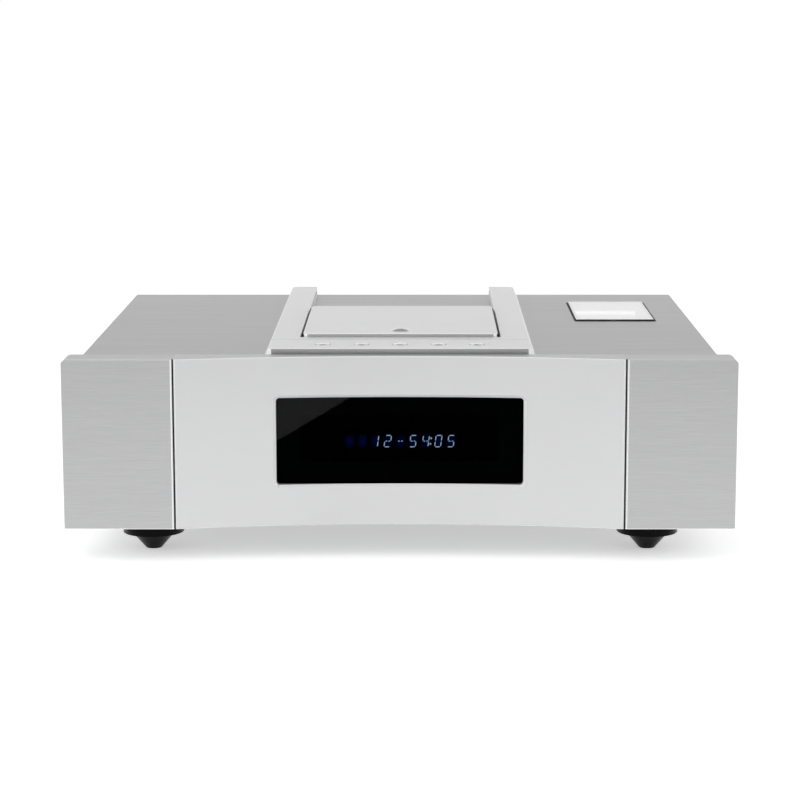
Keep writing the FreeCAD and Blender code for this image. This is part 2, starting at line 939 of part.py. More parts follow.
def laser_sled():
    """The carriage: a bore on the left rod, a fork on the right rod, and the rack on its left."""
    half = rod_spacing / 2 + sled_margin
    front = inner_read_y - sled_outer_length
    back = inner_read_y + sled_inner_length
    body = block(-half, half, front, back, sled_under, sled_top)
    slot = rod_radius + running_clearance
    bore = rod(slot, V(-rod_spacing / 2, front - past, rod_level), V(0, 1, 0), back - front + 2 * past)
    fork = block(rod_spacing / 2 - slot, half + past, front - past, back + past, rod_level - slot,
                 rod_level + slot)
    tunnel = block(sled_rail - half, half - sled_rail, front - past, inner_read_y - turret_radius,
                   sled_under - past, sled_top - sled_skin)
    return body.fuse(rack(-half)).cut([bore, fork, tunnel])


def objective_lens():
    """The round lens on its holder on top of the sled."""
    top = disc_level - lens_working_gap
    holder_top = top - lens_proud
    holder = post(turret_radius, 0, inner_read_y, sled_top, holder_top)
    ball_radius = (lens_radius ** 2 + lens_proud ** 2) / (2 * lens_proud)
    ball = Part.makeSphere(ball_radius, V(0, inner_read_y, top - ball_radius))
    cap = ball.common(post(lens_radius + past, 0, inner_read_y, holder_top, top + past))
    return [holder, cap]


# Gears

def gear_place():
    pitch_radius = gear_module * rack_wheel_teeth / 2
    return rack_pitch_x() - pitch_radius, spindle_y - gear_station


def motor_place():
    distance = gear_module * (large_wheel_teeth + motor_pinion_teeth) / 2
    angle = math.radians(motor_direction)
    gear_x, gear_y = gear_place()
    return gear_x + distance * math.cos(angle), gear_y + distance * math.sin(angle)


def rack_pitch_x():
    return -(rod_spacing / 2 + sled_margin + rack_back + gear_module * dedendum_share)


def wheel_level(step):
    """Levels in the gear train: 0 and 1 under and over the large wheel, 2 over the small one."""
    low = deck_top + gear_deck_gap
    levels = (low, low + large_wheel_thickness,
              low + large_wheel_thickness + gear_level_gap + rack_thickness + gear_overlap)
    return levels[step]


def involute(angle):
    return math.tan(angle) - angle


def tooth_half_angle(teeth, radius):
    """Half of a tooth's angular width at a radius, on an involute of the base circle."""
    pitch_radius = gear_module * teeth / 2
    pressure = math.radians(pressure_angle)
    base_radius = pitch_radius * math.cos(pressure)
    at_pitch = (math.pi * gear_module / 2 - backlash) / (2 * pitch_radius)
    here = math.acos(base_radius / max(radius, base_radius))
    return at_pitch + involute(pressure) - involute(here)


def gear_wheel(teeth, x, y, z0, z1, first_tooth):
    """A spur wheel with straight-flanked teeth, one of them centred on first_tooth, in degrees."""
    pitch_radius = gear_module * teeth / 2
    root = pitch_radius - gear_module * dedendum_share
    tip = pitch_radius + gear_module * addendum_share
    at_root = tooth_half_angle(teeth, root)
    at_tip = tooth_half_angle(teeth, tip)
    points = []
    for tooth in range(teeth):
        centre = math.radians(first_tooth) + 2 * math.pi * tooth / teeth
        outline = [(root, centre - at_root), (tip, centre - at_tip), (tip, centre + at_tip),
                   (root, centre + at_root)]
        points += [V(x + r * math.cos(a), y + r * math.sin(a), z0) for r, a in outline]
    return prism(points, V(0, 0, z1 - z0))


def rack(back_x):
    """The toothed bar along the sled, with a space between two teeth beside the sled gear's axis."""
    pitch = math.pi * gear_module
    lean = math.tan(math.radians(pressure_angle))
    addendum = gear_module * addendum_share
    dedendum = gear_module * dedendum_share
    half = (pitch / 2 - backlash) / 2
    line = rack_pitch_x()
    low = wheel_level(1) + gear_level_gap
    first = gear_place()[1] - (rack_lead_teeth - 0.5) * pitch
    teeth = []
    for index in range(rack_teeth):
        y = first + index * pitch
        root = half + dedendum * lean
        tip = half - addendum * lean
        teeth += [V(line + dedendum, y - root, low), V(line - addendum, y - tip, low),
                  V(line - addendum, y + tip, low), V(line + dedendum, y + root, low)]
    start = first - pitch
    end = first + rack_teeth * pitch
    points = [V(back_x, start, low), V(line + dedendum, start, low), *teeth,
              V(line + dedendum, end, low), V(back_x, end, low)]
    return prism(points, V(0, 0, rack_thickness))


def sled_gear():
    x, y = gear_place()
    large = gear_wheel(large_wheel_teeth, x, y, wheel_level(0), wheel_level(1), motor_direction)
    small = gear_wheel(rack_wheel_teeth, x, y, wheel_level(1), wheel_level(2), 0.0)
    bore = post(gear_pin_radius + running_clearance, x, y, wheel_level(0) - past, wheel_level(2) + past)
    return large.fuse(small).cut(bore)


def motor_pinion():
    x, y = motor_place()
    half_tooth = 180.0 / motor_pinion_teeth
    wheel = gear_wheel(motor_pinion_teeth, x, y, wheel_level(0), wheel_level(1) + pinion_overlap,
                       motor_direction + 180.0 + half_tooth)
    return wheel.fuse(post(shaft_radius, x, y, pinion_shaft_end, wheel_level(0)))


def sled_motor():
    place = motor_place()
    can = post(sled_motor_radius, *place, deck_under - sled_motor_height, deck_under)
    return can.cut(post(shaft_radius + running_clearance, *place, pinion_shaft_end - past, deck_under + past))


# Window and valves

def tube_window():
    top = cover_top + window_proud
    plate = window_hole(0, top - window_glass, top)
    return chamfered(plate, window_edge_chamfer, at_level(top))


def window_gasket():
    """The black strip round the glass, with a lip under it that the glass rests on."""
    glass_under = cover_top + window_proud - window_glass
    outside = window_hole(gasket_width, cover_under, cover_top + gasket_proud)
    seat = window_hole(seat_clearance, glass_under, cover_top + window_proud)
    return outside.cut([seat, window_hole(-gasket_lip, cover_under, glass_under)])


def valve_places():
    middle_x, middle_y = window_middle()
    return [(middle_x, middle_y - valve_pitch / 2), (middle_x, middle_y + valve_pitch / 2)]


def valve(x, y):
    """A hollow glass envelope with a drawn tip."""
    high = valve_base + valve_height
    shoulder = high - valve_shoulder
    inner = valve_radius - valve_glass
    points = [
        (0, valve_base), (valve_radius, valve_base), (valve_radius, shoulder), (valve_tip_radius, high),
        (0, high + valve_tip_height), (0, high - valve_glass), (inner, shoulder - valve_glass),
        (inner, valve_base + valve_base_thickness), (0, valve_base + valve_base_thickness),
    ]
    return revolve(points, x, y)


def tube_electrodes():
    """In each valve, two flattened anodes between two spacers, on a stem, and the getter on top."""
    half_w = electrode_gap / 2 + electrode_width + spacer_overhang
    half_d = electrode_depth / 2 + spacer_overhang
    foot_level = valve_base + valve_base_thickness
    low = foot_level + electrode_leg
    high = low + spacer_thickness + electrode_height
    getter = high + spacer_thickness + electrode_leg
    solids = []
    for x, y in valve_places():
        spacers = [block(x - half_w, x + half_w, y - half_d, y + half_d, z, z + spacer_thickness)
                   for z in (low, high)]
        anodes = [anode(x + side * (electrode_gap + electrode_width) / 2, y, low, high) for side in (-1, 1)]
        stem = hexagon(stem_radius, x, y, foot_level, getter)
        dish = hexagon(getter_radius, x, y, getter, getter + spacer_thickness)
        solids.append(spacers[0].fuse([spacers[1], *anodes, stem, dish]))
    return solids


def anode(x, y, low, high):
    """A box with its four upright edges cut off."""
    half_w = electrode_width / 2
    half_d = electrode_depth / 2
    body = block(x - half_w, x + half_w, y - half_d, y + half_d, low, high)
    return chamfered(body, anode_cut, lambda edge: edge.BoundBox.ZLength > high - low - tolerance)


def tube_sockets():
    return [post(socket_radius, x, y, valve_base - socket_height, valve_base) for x, y in valve_places()]


def tube_board_box():
    return (window_left, window_left + window_width, window_front, window_front + window_length)


def board(box, level):
    x0, x1, y0, y1 = box
    return block(x0, x1, y0, y1, level, level + board_thickness)


def tube_board():
    return board(tube_board_box(), tube_board_level)


def board_seats(box):
    """The places of the standoffs under a board's four corners."""
    x0, x1, y0, y1 = box
    inset = 2 * standoff_inset
    return corners(x1 - x0 - inset, y1 - y0 - inset, (x0 + x1) / 2, (y0 + y1) / 2)


def main_board_box():
    x1 = inside_half - ledge_width - board_side_gap
    y0 = case_front + subframe_thickness + board_front_gap
    return x1 - main_board_width, x1, y0, y0 + main_board_length


def power_board_box():
    x0, x1, y0, y1 = main_board_box()
    return -x1, -x0, y0, y1


def main_board():
    """The decoder board with its chips."""
    x0, x1, y0, y1 = main_board_box()
    top = board_level + board_thickness
    chips = []
    for share_x, share_y, side in main_chips:
        x = x0 + share_x * (x1 - x0)
        y = y0 + share_y * (y1 - y0)
        chips.append(block(x - side / 2, x + side / 2, y - side / 2, y + side / 2, top, top + chip_height))
    return board(main_board_box(), board_level).fuse(chips)


def power_board():
    """The supply board with its smoothing capacitors and its finned heat sink."""
    x0, x1, y0, y1 = power_board_box()
    top = board_level + board_thickness
    middle_x = (x0 + x1) / 2
    cans = [post(capacitor_radius, middle_x + side * capacitor_pitch / 2, y0 + capacitor_front_gap,
                 top, top + capacitor_height) for side in (-1, 1)]
    sink = heat_sink(middle_x, y1 - sink_rear_gap - sink_depth, top)
    return [board(power_board_box(), board_level), sink, *cans]


def heat_sink(middle_x, front, low):
    left = middle_x - sink_width / 2
    body = block(left, left + sink_width, front, front + sink_depth, low, low + sink_height)
    pitch = (sink_width - fin_thickness) / (sink_fins - 1)
    gaps = [block(left + index * pitch + fin_thickness, left + (index + 1) * pitch, front + sink_base,
                  front + sink_depth + past, low - past, low + sink_height + past)
            for index in range(sink_fins - 1)]
    return body.cut(gaps)


def board_standoffs():
    """Hexagonal standoffs under the corners of the three boards."""
    boxes = (main_board_box(), power_board_box())
    seats = [(x, y, board_level) for box in boxes for x, y in board_seats(box)]
    seats += [(x, y, tube_board_level) for x, y in board_seats(tube_board_box())]
    return [hexagon(standoff_radius, x, y, floor_top, level) for x, y, level in seats]


def transformer_place():
    return transformer_x, rear_inside - transformer_rear_gap - transformer_radius


def transformer():
    """The ring-shaped winding, with its upper outer edge broken."""
    high = floor_top + transformer_height
    points = [
        (transformer_bore, floor_top), (transformer_radius, floor_top),
        (transformer_radius, high - transformer_chamfer), (transformer_radius - transformer_chamfer, high),
        (transformer_bore, high),
    ]
    return revolve(points, *transformer_place())


def transformer_clamp():
    """The disc that holds the winding down, and the bolt through the middle."""
    x, y = transformer_place()
    low = floor_top + transformer_height
    high = low + clamp_thickness
    disc = post(clamp_radius, x, y, low, high)
    bolt = hexagon(clamp_bolt_radius, x, y, floor_top, low)
    head = hexagon(clamp_head_radius, x, y, high, high + clamp_head_height)
    return disc.fuse([bolt, head])


# Rear connectors

def rca_jacks():
    """Phono sockets: a sleeve and its nut, filled by an insulator with the hole for the plug's pin."""
    back = V(0, 1, 0)
    solids = []
    for x in jack_positions:
        face = V(x, case_back, jack_height)
        sleeve = rod(jack_sleeve_radius, face - back * jack_neck_length, back, jack_neck_length + jack_reach)
        nut = hexagon(jack_nut_radius, 0, 0, 0, jack_nut_thickness)
        nut.rotate(V(0, 0, 0), V(1, 0, 0), -90)
        nut.translate(face)
        recess = rod(jack_sleeve_radius - jack_sleeve_wall, face + back * (jack_reach - jack_recess), back,
                     jack_recess + past)
        pin_hole = rod(jack_pin_bore, face, back, jack_reach)
        solids.append(sleeve.fuse(nut).cut([recess, pin_hole]))
    return solids


def socket_cavity():
    """The cavity for the mains plug: a rectangle whose two upper corners are cut off."""
    half = inlet_socket_width / 2
    low = inlet_height + inlet_socket_lift - inlet_socket_height / 2
    high = low + inlet_socket_height
    cut = inlet_socket_corner
    mouth = case_back + inlet_flange_thickness + past
    outline = [(-half, low), (half, low), (half, high - cut), (half - cut, high), (cut - half, high),
               (-half, high - cut)]
    points = [V(inlet_x + x, mouth, z) for x, z in outline]
    return prism(points, V(0, -inlet_socket_depth - past, 0))


def drawer_cavity(margin):
    face = case_back + inlet_flange_thickness
    return upright_block(inlet_x, inlet_height - drawer_drop, drawer_width + 2 * margin,
                         drawer_height + 2 * margin, face - drawer_depth - margin, face + past)


def mains_inlet():
    """The mains socket with its three blades, over the space for the fuse drawer."""
    face = case_back + inlet_flange_thickness
    flange = upright_plate(inlet_x, inlet_height, inlet_flange_width, inlet_flange_height, case_back, face,
                           inlet_flange_radius)
    body = upright_block(inlet_x, inlet_height, inlet_body_width, inlet_body_height,
                         face - inlet_body_depth, case_back)
    housing = flange.fuse(body).cut([socket_cavity(), drawer_cavity(drawer_gap)])
    bottom = face - inlet_socket_depth
    middle = inlet_height + inlet_socket_lift
    half_spacing = blade_spacing / 2
    blades = [upright_block(inlet_x + x, middle + z, blade_width, blade_height, bottom, bottom + blade_length)
              for x, z in ((-half_spacing, -earth_lift), (half_spacing, -earth_lift), (0, earth_lift))]
    return housing.fuse(blades)


def fuse_drawer():
    """The small drawer under the mains socket, with a trough for the fuses and a finger edge."""
    face = case_back + inlet_flange_thickness
    middle = inlet_height - drawer_drop
    body = upright_block(inlet_x, middle, drawer_width, drawer_height, face - drawer_depth, face + drawer_lip)
    wall = drawer_wall
    trough = block(inlet_x - drawer_width / 2 + wall, inlet_x + drawer_width / 2 - wall,
                   face - drawer_depth + wall, face - wall, middle - drawer_height / 2 + wall,
                   middle + drawer_height / 2 + past)
    grip = block(inlet_x - drawer_grip / 2, inlet_x + drawer_grip / 2, face, face + drawer_lip + past,
                 middle + drawer_height / 2 - drawer_lip, middle + drawer_height / 2 + past)
    return body.cut([trough, grip])


def rocker_axis():
    return V(rocker_x, case_back + rocker_bezel_thickness - rocker_pin_depth, rocker_height)


def switch_frame():
    """The rocker's housing, with its bezel on the rear panel and the pin that the rocker turns on."""
    face = case_back + rocker_bezel_thickness
    bezel = upright_block(rocker_x, rocker_height, rocker_body_width + 2 * rocker_bezel,
                          rocker_body_length + 2 * rocker_bezel, case_back, face)
    body = upright_block(rocker_x, rocker_height, rocker_body_width, rocker_body_length,
                         face - rocker_body_depth, case_back)
    mouth = upright_block(rocker_x, rocker_height, rocker_width + 2 * rocker_clearance,
                          rocker_length + 2 * rocker_swing_clearance,
                          face - rocker_body_depth + rocker_back, face + past)
    half_width = rocker_width / 2 + rocker_clearance
    pin = rod(rocker_pin_radius, rocker_axis() - V(half_width, 0, 0), V(1, 0, 0), 2 * half_width)
    return bezel.fuse(body).cut(mouth).fuse(pin)


def power_rocker():
    """A rocker with two flats that meet in a low ridge over its pin."""
    half = rocker_length / 2
    ridge = rocker_pin_depth + rocker_ridge
    points = [
        V(0, rocker_pin_depth, -half), V(0, ridge, 0), V(0, rocker_pin_depth, half),
        V(0, rocker_pin_depth - rocker_thickness / 2, half), V(0, rocker_pin_depth - rocker_thickness, 0),
        V(0, rocker_pin_depth - rocker_thickness / 2, -half),
    ]
    solid = prism(points, V(rocker_width, 0, 0))
    solid.translate(V(-rocker_width / 2, 0, 0))
    solid = solid.cut(rod(rocker_pin_radius + running_clearance, V(-rocker_width, 0, 0), V(1, 0, 0),
                          2 * rocker_width))
    solid.rotate(V(0, 0, 0), V(1, 0, 0), rocker_tilt)
    solid.translate(rocker_axis())
    return solid


def nodes():
    ends = ("front_left", "rear_left", "front_right", "rear_right")
    shapes = {
        "panel_centre": panel_centre(),
        "panel_end_left": panel_end(-1),
        "panel_end_right": panel_end(1),
        "display_lens": display_lens(),
        "display_tube": display_tube(),
        "display_board": display_board(),
        "front_subframe": front_subframe(),
        "side_left": side_plate(-1),
        "side_right": side_plate(1),
        "top_cover": top_cover(),
        "bottom_plate": bottom_plate(),
        "rear_panel": rear_panel(),
        "guide_frame": guide_frame(),
        "button_bar": button_bar(),
        "button_board": button_board(),
        "sliding_lid": sliding_lid(),
        "lid_runners": lid_runners(),
        "finger_knob": finger_knob(),
        "disc_well": disc_well(),
        "deck_posts": deck_posts(),
        "deck_grommets": deck_grommets(),
        "deck_plate": deck_plate(),
        "spindle_motor": spindle_motor(),
        "spindle_shaft": spindle_shaft(),
        "turntable": turntable(),
        "clamp_puck": clamp_puck(),
        "guide_rods": guide_rods(),
        "rod_holders": rod_holders(),
        "laser_sled": laser_sled(),
        "objective_lens": objective_lens(),
        "sled_gear": sled_gear(),
        "motor_pinion": motor_pinion(),
        "sled_motor": sled_motor(),
        "tube_window": tube_window(),
        "window_gasket": window_gasket(),
        "tube_electrodes": tube_electrodes(),
        "tube_sockets": tube_sockets(),
        "tube_board": tube_board(),
        "main_board": main_board(),
        "power_board": power_board(),
        "board_standoffs": board_standoffs(),
        "transformer": transformer(),
        "transformer_clamp": transformer_clamp(),
        "rca_jacks": rca_jacks(),
        "mains_inlet": mains_inlet(),
        "fuse_drawer": fuse_drawer(),
        "switch_frame": switch_frame(),
        "power_rocker": power_rocker(),
    }
    for number, x in enumerate(button_places(), start=1):
        shapes[f"button_{number}"] = button(x)
    for end, (x, y) in zip(ends, foot_places()):
        shapes[f"foot_{end}"] = foot(x, y)
    for end, (x, y) in zip(("front", "rear"), valve_places()):
        shapes[f"vacuum_tube_{end}"] = valve(x, y)
    return shapes


def write_nodes():
    os.makedirs("parts", exist_ok=True)
    for name, shape in nodes().items():
        solid = Part.makeCompound(shape) if isinstance(shape, list) else shape
        solid.translate(V(0, -overall_depth / 2, 0))
        solid.exportStep(f"parts/{name}.step")


write_nodes()
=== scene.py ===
import json
import math
from collections import namedtuple

import bmesh
import bpy
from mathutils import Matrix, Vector


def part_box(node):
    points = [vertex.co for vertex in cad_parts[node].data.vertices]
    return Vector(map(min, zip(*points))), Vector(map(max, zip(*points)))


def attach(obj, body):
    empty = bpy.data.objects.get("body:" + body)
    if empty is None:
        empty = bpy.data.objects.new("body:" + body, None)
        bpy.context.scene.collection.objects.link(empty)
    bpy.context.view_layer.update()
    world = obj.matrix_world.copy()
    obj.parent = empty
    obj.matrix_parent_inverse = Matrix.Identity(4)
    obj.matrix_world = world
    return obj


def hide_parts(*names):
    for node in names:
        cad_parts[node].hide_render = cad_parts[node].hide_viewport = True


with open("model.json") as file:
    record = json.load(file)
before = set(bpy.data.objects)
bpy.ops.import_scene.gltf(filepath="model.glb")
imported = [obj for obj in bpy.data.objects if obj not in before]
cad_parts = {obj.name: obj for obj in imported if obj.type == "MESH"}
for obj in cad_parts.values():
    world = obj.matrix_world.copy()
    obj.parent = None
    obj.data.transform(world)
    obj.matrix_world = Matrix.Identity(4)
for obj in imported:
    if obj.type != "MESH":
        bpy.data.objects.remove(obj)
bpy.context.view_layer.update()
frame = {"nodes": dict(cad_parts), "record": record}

NODES = frame["nodes"]


# Colours

ALUMINIUM_BLUE = 1.006


def linear(value):
    """A display level from 0 to 255 as a linear value."""
    level = value / 255
    return level / 12.92 if level <= 0.04045 else ((level + 0.055) / 1.055) ** 2.4


def colour(red, green, blue):
    return (linear(red), linear(green), linear(blue), 1.0)


def grey(value):
    return colour(value, value, value)


def aluminium(value):
    """A grey with a trace of blue."""
    return (linear(value), linear(value), linear(value) * ALUMINIUM_BLUE, 1.0)


def scaled(base, share, lift=0.0):
    """A colour made darker or lighter."""
    return (*(min(1.0, level * share + lift) for level in base[:3]), 1.0)


# Shaders

# A noise seldom leaves this stretch of its values, so what follows the noise is spread over it.
NOISE_LOW = 0.3
NOISE_HIGH = 0.7

# The largest part of a normal on a face that is cut at an angle, and on one that counts as flat.
NORMAL_CUT = 0.78
NORMAL_FLAT = 0.86

# From here on a normal counts as pointing up, and to the front.
NORMAL_UP = 0.2
NORMAL_FRONT = -0.9

EDGE_POLISH = 0.16


class Shader:
    """A node material that is built up from one Principled shader."""

    def __init__(self, name):
        self.material = bpy.data.materials.new(name)
        self.material.use_nodes = True
        self.tree = self.material.node_tree
        self.main = self.tree.nodes["Principled BSDF"]

    def set(self, **values):
        for name, value in values.items():
            self.main.inputs[name.replace("_", " ")].default_value = value

    def add(self, kind, **settings):
        node = self.tree.nodes.new(kind)
        for name, value in settings.items():
            setattr(node, name, value)
        return node

    def link(self, out, into):
        self.tree.links.new(out, into)

    def feed(self, name, out):
        """Drives one input of the Principled shader."""
        self.link(out, self.main.inputs[name])

    def place(self, scale):
        """The piece's own coordinates, scaled by one number or by one for each axis."""
        source = self.add("ShaderNodeTexCoord")
        mapping = self.add("ShaderNodeMapping")
        scales = scale if isinstance(scale, tuple) else (scale, scale, scale)
        mapping.inputs["Scale"].default_value = scales
        self.link(source.outputs["Object"], mapping.inputs["Vector"])
        return mapping.outputs["Vector"]

    def noise(self, scale, detail, roughness):
        """A noise with so many grains to the metre."""
        node = self.add("ShaderNodeTexNoise")
        node.inputs["Scale"].default_value = 1.0
        node.inputs["Detail"].default_value = detail
        node.inputs["Roughness"].default_value = roughness
        self.link(self.place(scale), node.inputs["Vector"])
        return node.outputs["Fac"]

    def ramp(self, fac, stops):
        node = self.add("ShaderNodeValToRGB")
        elements = node.color_ramp.elements
        elements[0].position, elements[0].color = stops[0]
        elements[1].position, elements[1].color = stops[-1]
        for position, value in stops[1:-1]:
            elements.new(position).color = value
        self.link(fac, node.inputs["Fac"])
        return node.outputs["Color"]

    def mottled(self, noise, dark, light):
        """A colour that wanders with a noise."""
        return self.ramp(noise, [(NOISE_LOW, dark), (NOISE_HIGH, light)])

    def mapped(self, fac, low, high, start=0.0, end=1.0):
        """A value that goes from low to high as the factor goes from start to end."""
        node = self.add("ShaderNodeMapRange")
        limits = {"From Min": start, "From Max": end, "To Min": low, "To Max": high}
        for name, value in limits.items():
            node.inputs[name].default_value = value
        self.link(fac, node.inputs["Value"])
        return node.outputs["Result"]

    def uneven(self, noise, low, high):
        """A value that wanders with a noise."""
        return self.mapped(noise, low, high, NOISE_LOW, NOISE_HIGH)

    def math(self, operation, first, second=None):
        node = self.add("ShaderNodeMath", operation=operation)
        for value, socket in zip((first, second), node.inputs):
            if isinstance(value, (int, float)):
                socket.default_value = value
            elif value is not None:
                self.link(value, socket)
        return node.outputs["Value"]

    def normal(self):
        source = self.add("ShaderNodeTexCoord")
        parts = self.add("ShaderNodeSeparateXYZ")
        self.link(source.outputs["Normal"], parts.inputs[0])
        return list(parts.outputs)

    def edge_mask(self, upward=False):
        """1 on chamfers and bevels, and 0 elsewhere: on those that face up, or on all others."""
        x, y, z = self.normal()
        sideways = self.math("MAXIMUM", self.math("ABSOLUTE", x), self.math("ABSOLUTE", y))
        largest = self.math("MAXIMUM", sideways, self.math("ABSOLUTE", z))
        cut = self.mapped(largest, 1.0, 0.0, NORMAL_CUT, NORMAL_FLAT)
        chosen = self.math("GREATER_THAN" if upward else "LESS_THAN", z, NORMAL_UP)
        return self.math("MULTIPLY", cut, chosen)

    def front_shade_mask(self):
        """1 on faces that face the front, and 0 elsewhere: where painted shade goes."""
        return self.math("LESS_THAN", self.normal()[1], NORMAL_FRONT)

    def polished_edges(self, edges, roughness):
        """A roughness that drops to a polish on the cut edges."""
        kept = self.math("MULTIPLY", roughness, self.math("SUBTRACT", 1.0, edges))
        return self.math("ADD", kept, self.math("MULTIPLY", edges, EDGE_POLISH))

    def bump(self, height, strength, distance):
        node = self.add("ShaderNodeBump")
        node.inputs["Strength"].default_value = strength
        node.inputs["Distance"].default_value = distance
        self.link(height, node.inputs["Height"])
        self.feed("Normal", node.outputs["Normal"])

    def mix(self, fac, first, second):
        node = self.add("ShaderNodeMix", data_type="RGBA")
        colours = [socket for socket in node.inputs if socket.type == "RGBA"]
        for value, socket in zip((fac, first, second), (node.inputs["Factor"], *colours)):
            if isinstance(value, (float, tuple)):
                socket.default_value = value
            else:
                self.link(value, socket)
        return node.outputs["Result"]


# Materials

STREAK_LENGTHWAYS = 60.0
STREAK_CROSSWAYS = 2600.0
ALONG_X = (STREAK_LENGTHWAYS, STREAK_CROSSWAYS, STREAK_CROSSWAYS)
ALONG_Y = (STREAK_CROSSWAYS, STREAK_LENGTHWAYS, STREAK_CROSSWAYS)


def low_angle(share):
    """How much of its straight-on reflection a metal keeps when it is seen at a low angle."""
    return (share, share, share, 1.0)


def brushed(name, level, roughness, low_tint, streaks=ALONG_X, band=(4.0, 3.0), contrast=3, edge=250):
    """Anodised aluminium with fine streaks one way, and polished cut edges that carry a painted highlight.

    Under the streaks lie bands that are longer and wider by the two numbers of band, and darker
    and lighter by contrast levels.
    """
    s = Shader(name)
    longer, wider = band
    bands = tuple(share / (longer if share == STREAK_LENGTHWAYS else wider) for share in streaks)
    fine = s.noise(streaks, detail=5.0, roughness=0.65)
    broad = s.noise(bands, detail=3.0, roughness=0.6)
    face = s.mix(0.5, s.mottled(fine, aluminium(level - 15), aluminium(level + 12)),
                 s.mottled(broad, aluminium(level - contrast), aluminium(level + contrast)))
    edges = s.edge_mask()
    # Painted highlight: the chamfers that don't face up take the lighter edge level in their colour.
    s.feed("Base Color", s.mix(edges, face, aluminium(edge)))
    dull = s.uneven(fine, roughness - 0.05, roughness + 0.06)
    s.feed("Roughness", s.polished_edges(edges, dull))
    s.set(Metallic=1.0, Specular_Tint=low_angle(low_tint))
    s.bump(fine, strength=0.2, distance=0.00002)
    return s.material


def satin(name, level, roughness, low_tint, grain=0.00002, front=0, top_edge_shade=0):
    """Bead-blasted, anodised aluminium: an even, dull grey, with a painted highlight on its cut edges.

    The faces to the front and the chamfers that face up may carry painted shade, darker by the given
    numbers of levels.
    """
    s = Shader(name)
    grains = s.noise(4200.0, detail=2.0, roughness=0.6)
    clouds = s.noise(14.0, detail=3.0, roughness=0.5)
    face = s.mix(0.5, s.mottled(clouds, aluminium(level - 2), aluminium(level + 2)),
                 s.mottled(grains, aluminium(level - 5), aluminium(level + 4)))
    # Painted shade: the faces to the front are darker.
    if front:
        face = s.mix(s.front_shade_mask(), face, aluminium(level - front))
    # Painted shade: the chamfers that face up are darker.
    if top_edge_shade:
        face = s.mix(s.edge_mask(upward=True), face, aluminium(level - top_edge_shade))
    edges = s.edge_mask()
    # Painted highlight: the chamfers that don't face up are near white.
    s.feed("Base Color", s.mix(edges, face, aluminium(252)))
    s.feed("Roughness", s.uneven(grains, roughness - 0.05, roughness + 0.05))
    # Part of the painted highlight: those chamfers turn less metallic, so they stay bright.
    s.feed("Metallic", s.mapped(edges, 1.0, 0.4))
    s.set(Specular_Tint=low_angle(low_tint))
    s.bump(grains, strength=0.3, distance=grain)
    return s.material


def painted(name, base, roughness, grain=0.00003, metallic=0.0, coat=0.0, specular=0.5):
    """Powder paint or moulded plastic: a fine orange-peel grain and a little unevenness of colour."""
    s = Shader(name)
    grains = s.noise(900.0, detail=3.0, roughness=0.6)
    clouds = s.noise(25.0, detail=3.0, roughness=0.5)
    s.feed("Base Color", s.mottled(clouds, scaled(base, 0.95), scaled(base, 1.04, 0.001)))
    s.feed("Roughness", s.uneven(grains, roughness - 0.06, roughness + 0.06))
    s.set(Metallic=metallic, Specular_IOR_Level=specular, Coat_Weight=coat, Coat_Roughness=0.08)
    s.bump(grains, strength=0.35, distance=grain)
    return s.material


def turned(name, base, roughness):
    """Bare metal off a lathe or a grinder, with fine uneven streaks."""
    s = Shader(name)
    lines = s.noise((300.0, 300.0, 5200.0), detail=4.0, roughness=0.6)
    s.feed("Base Color", s.mottled(lines, scaled(base, 0.86), base))
    s.feed("Roughness", s.uneven(lines, roughness - 0.06, roughness + 0.08))
    s.set(Metallic=1.0)
    s.bump(lines, strength=0.2, distance=0.00002)
    return s.material


def circuit(name):
    """Solder mask with copper tracks and ground areas under it, and tinned pads."""
    s = Shader(name)
    cells = s.add("ShaderNodeTexVoronoi", feature="F1", distance="CHEBYCHEV")
    s.link(s.place(260.0), cells.inputs["Vector"])
    cells.inputs["Scale"].default_value = 1.0
    tracks = s.add("ShaderNodeTexBrick")
    s.link(s.place(120.0), tracks.inputs["Vector"])
    tracks.inputs["Scale"].default_value = 1.0
    tracks.inputs["Mortar Size"].default_value = 0.035
    tracks.inputs["Color1"].default_value = colour(14, 74, 44)
    tracks.inputs["Color2"].default_value = colour(11, 64, 38)
    tracks.inputs["Mortar"].default_value = colour(38, 118, 66)
    pads = s.ramp(cells.outputs["Distance"],
                  [(0.0, grey(255)), (0.1, grey(255)), (0.13, grey(0)), (1.0, grey(0))])
    s.feed("Base Color", s.mix(pads, tracks.outputs["Color"], colour(176, 178, 168)))
    s.set(Roughness=0.32, Coat_Weight=0.3, Coat_Roughness=0.15)
    s.bump(tracks.outputs["Fac"], strength=0.3, distance=0.00003)
    return s.material


def glass(name, base, roughness=0.0, ior=1.5, coat=0.0, coat_ior=1.5):
    """Polished glass with a trace of unevenness, and on request a reflecting coat."""
    s = Shader(name)
    haze = s.noise(60.0, detail=2.0, roughness=0.5)
    s.feed("Base Color", s.mottled(haze, scaled(base, 0.97), base))
    s.set(Roughness=roughness, IOR=ior, Transmission_Weight=1.0)
    s.set(Coat_Weight=coat, Coat_IOR=coat_ior, Coat_Roughness=0.02)
    return s.material


def glow(name, base, strength):
    """Something lit, a little uneven as phosphor is."""
    s = Shader(name)
    grains = s.noise(2200.0, detail=2.0, roughness=0.5)
    tone = s.mottled(grains, scaled(base, 0.8), base)
    s.feed("Base Color", tone)
    s.feed("Emission Color", tone)
    s.set(Roughness=0.5, Emission_Strength=strength)
    return s.material


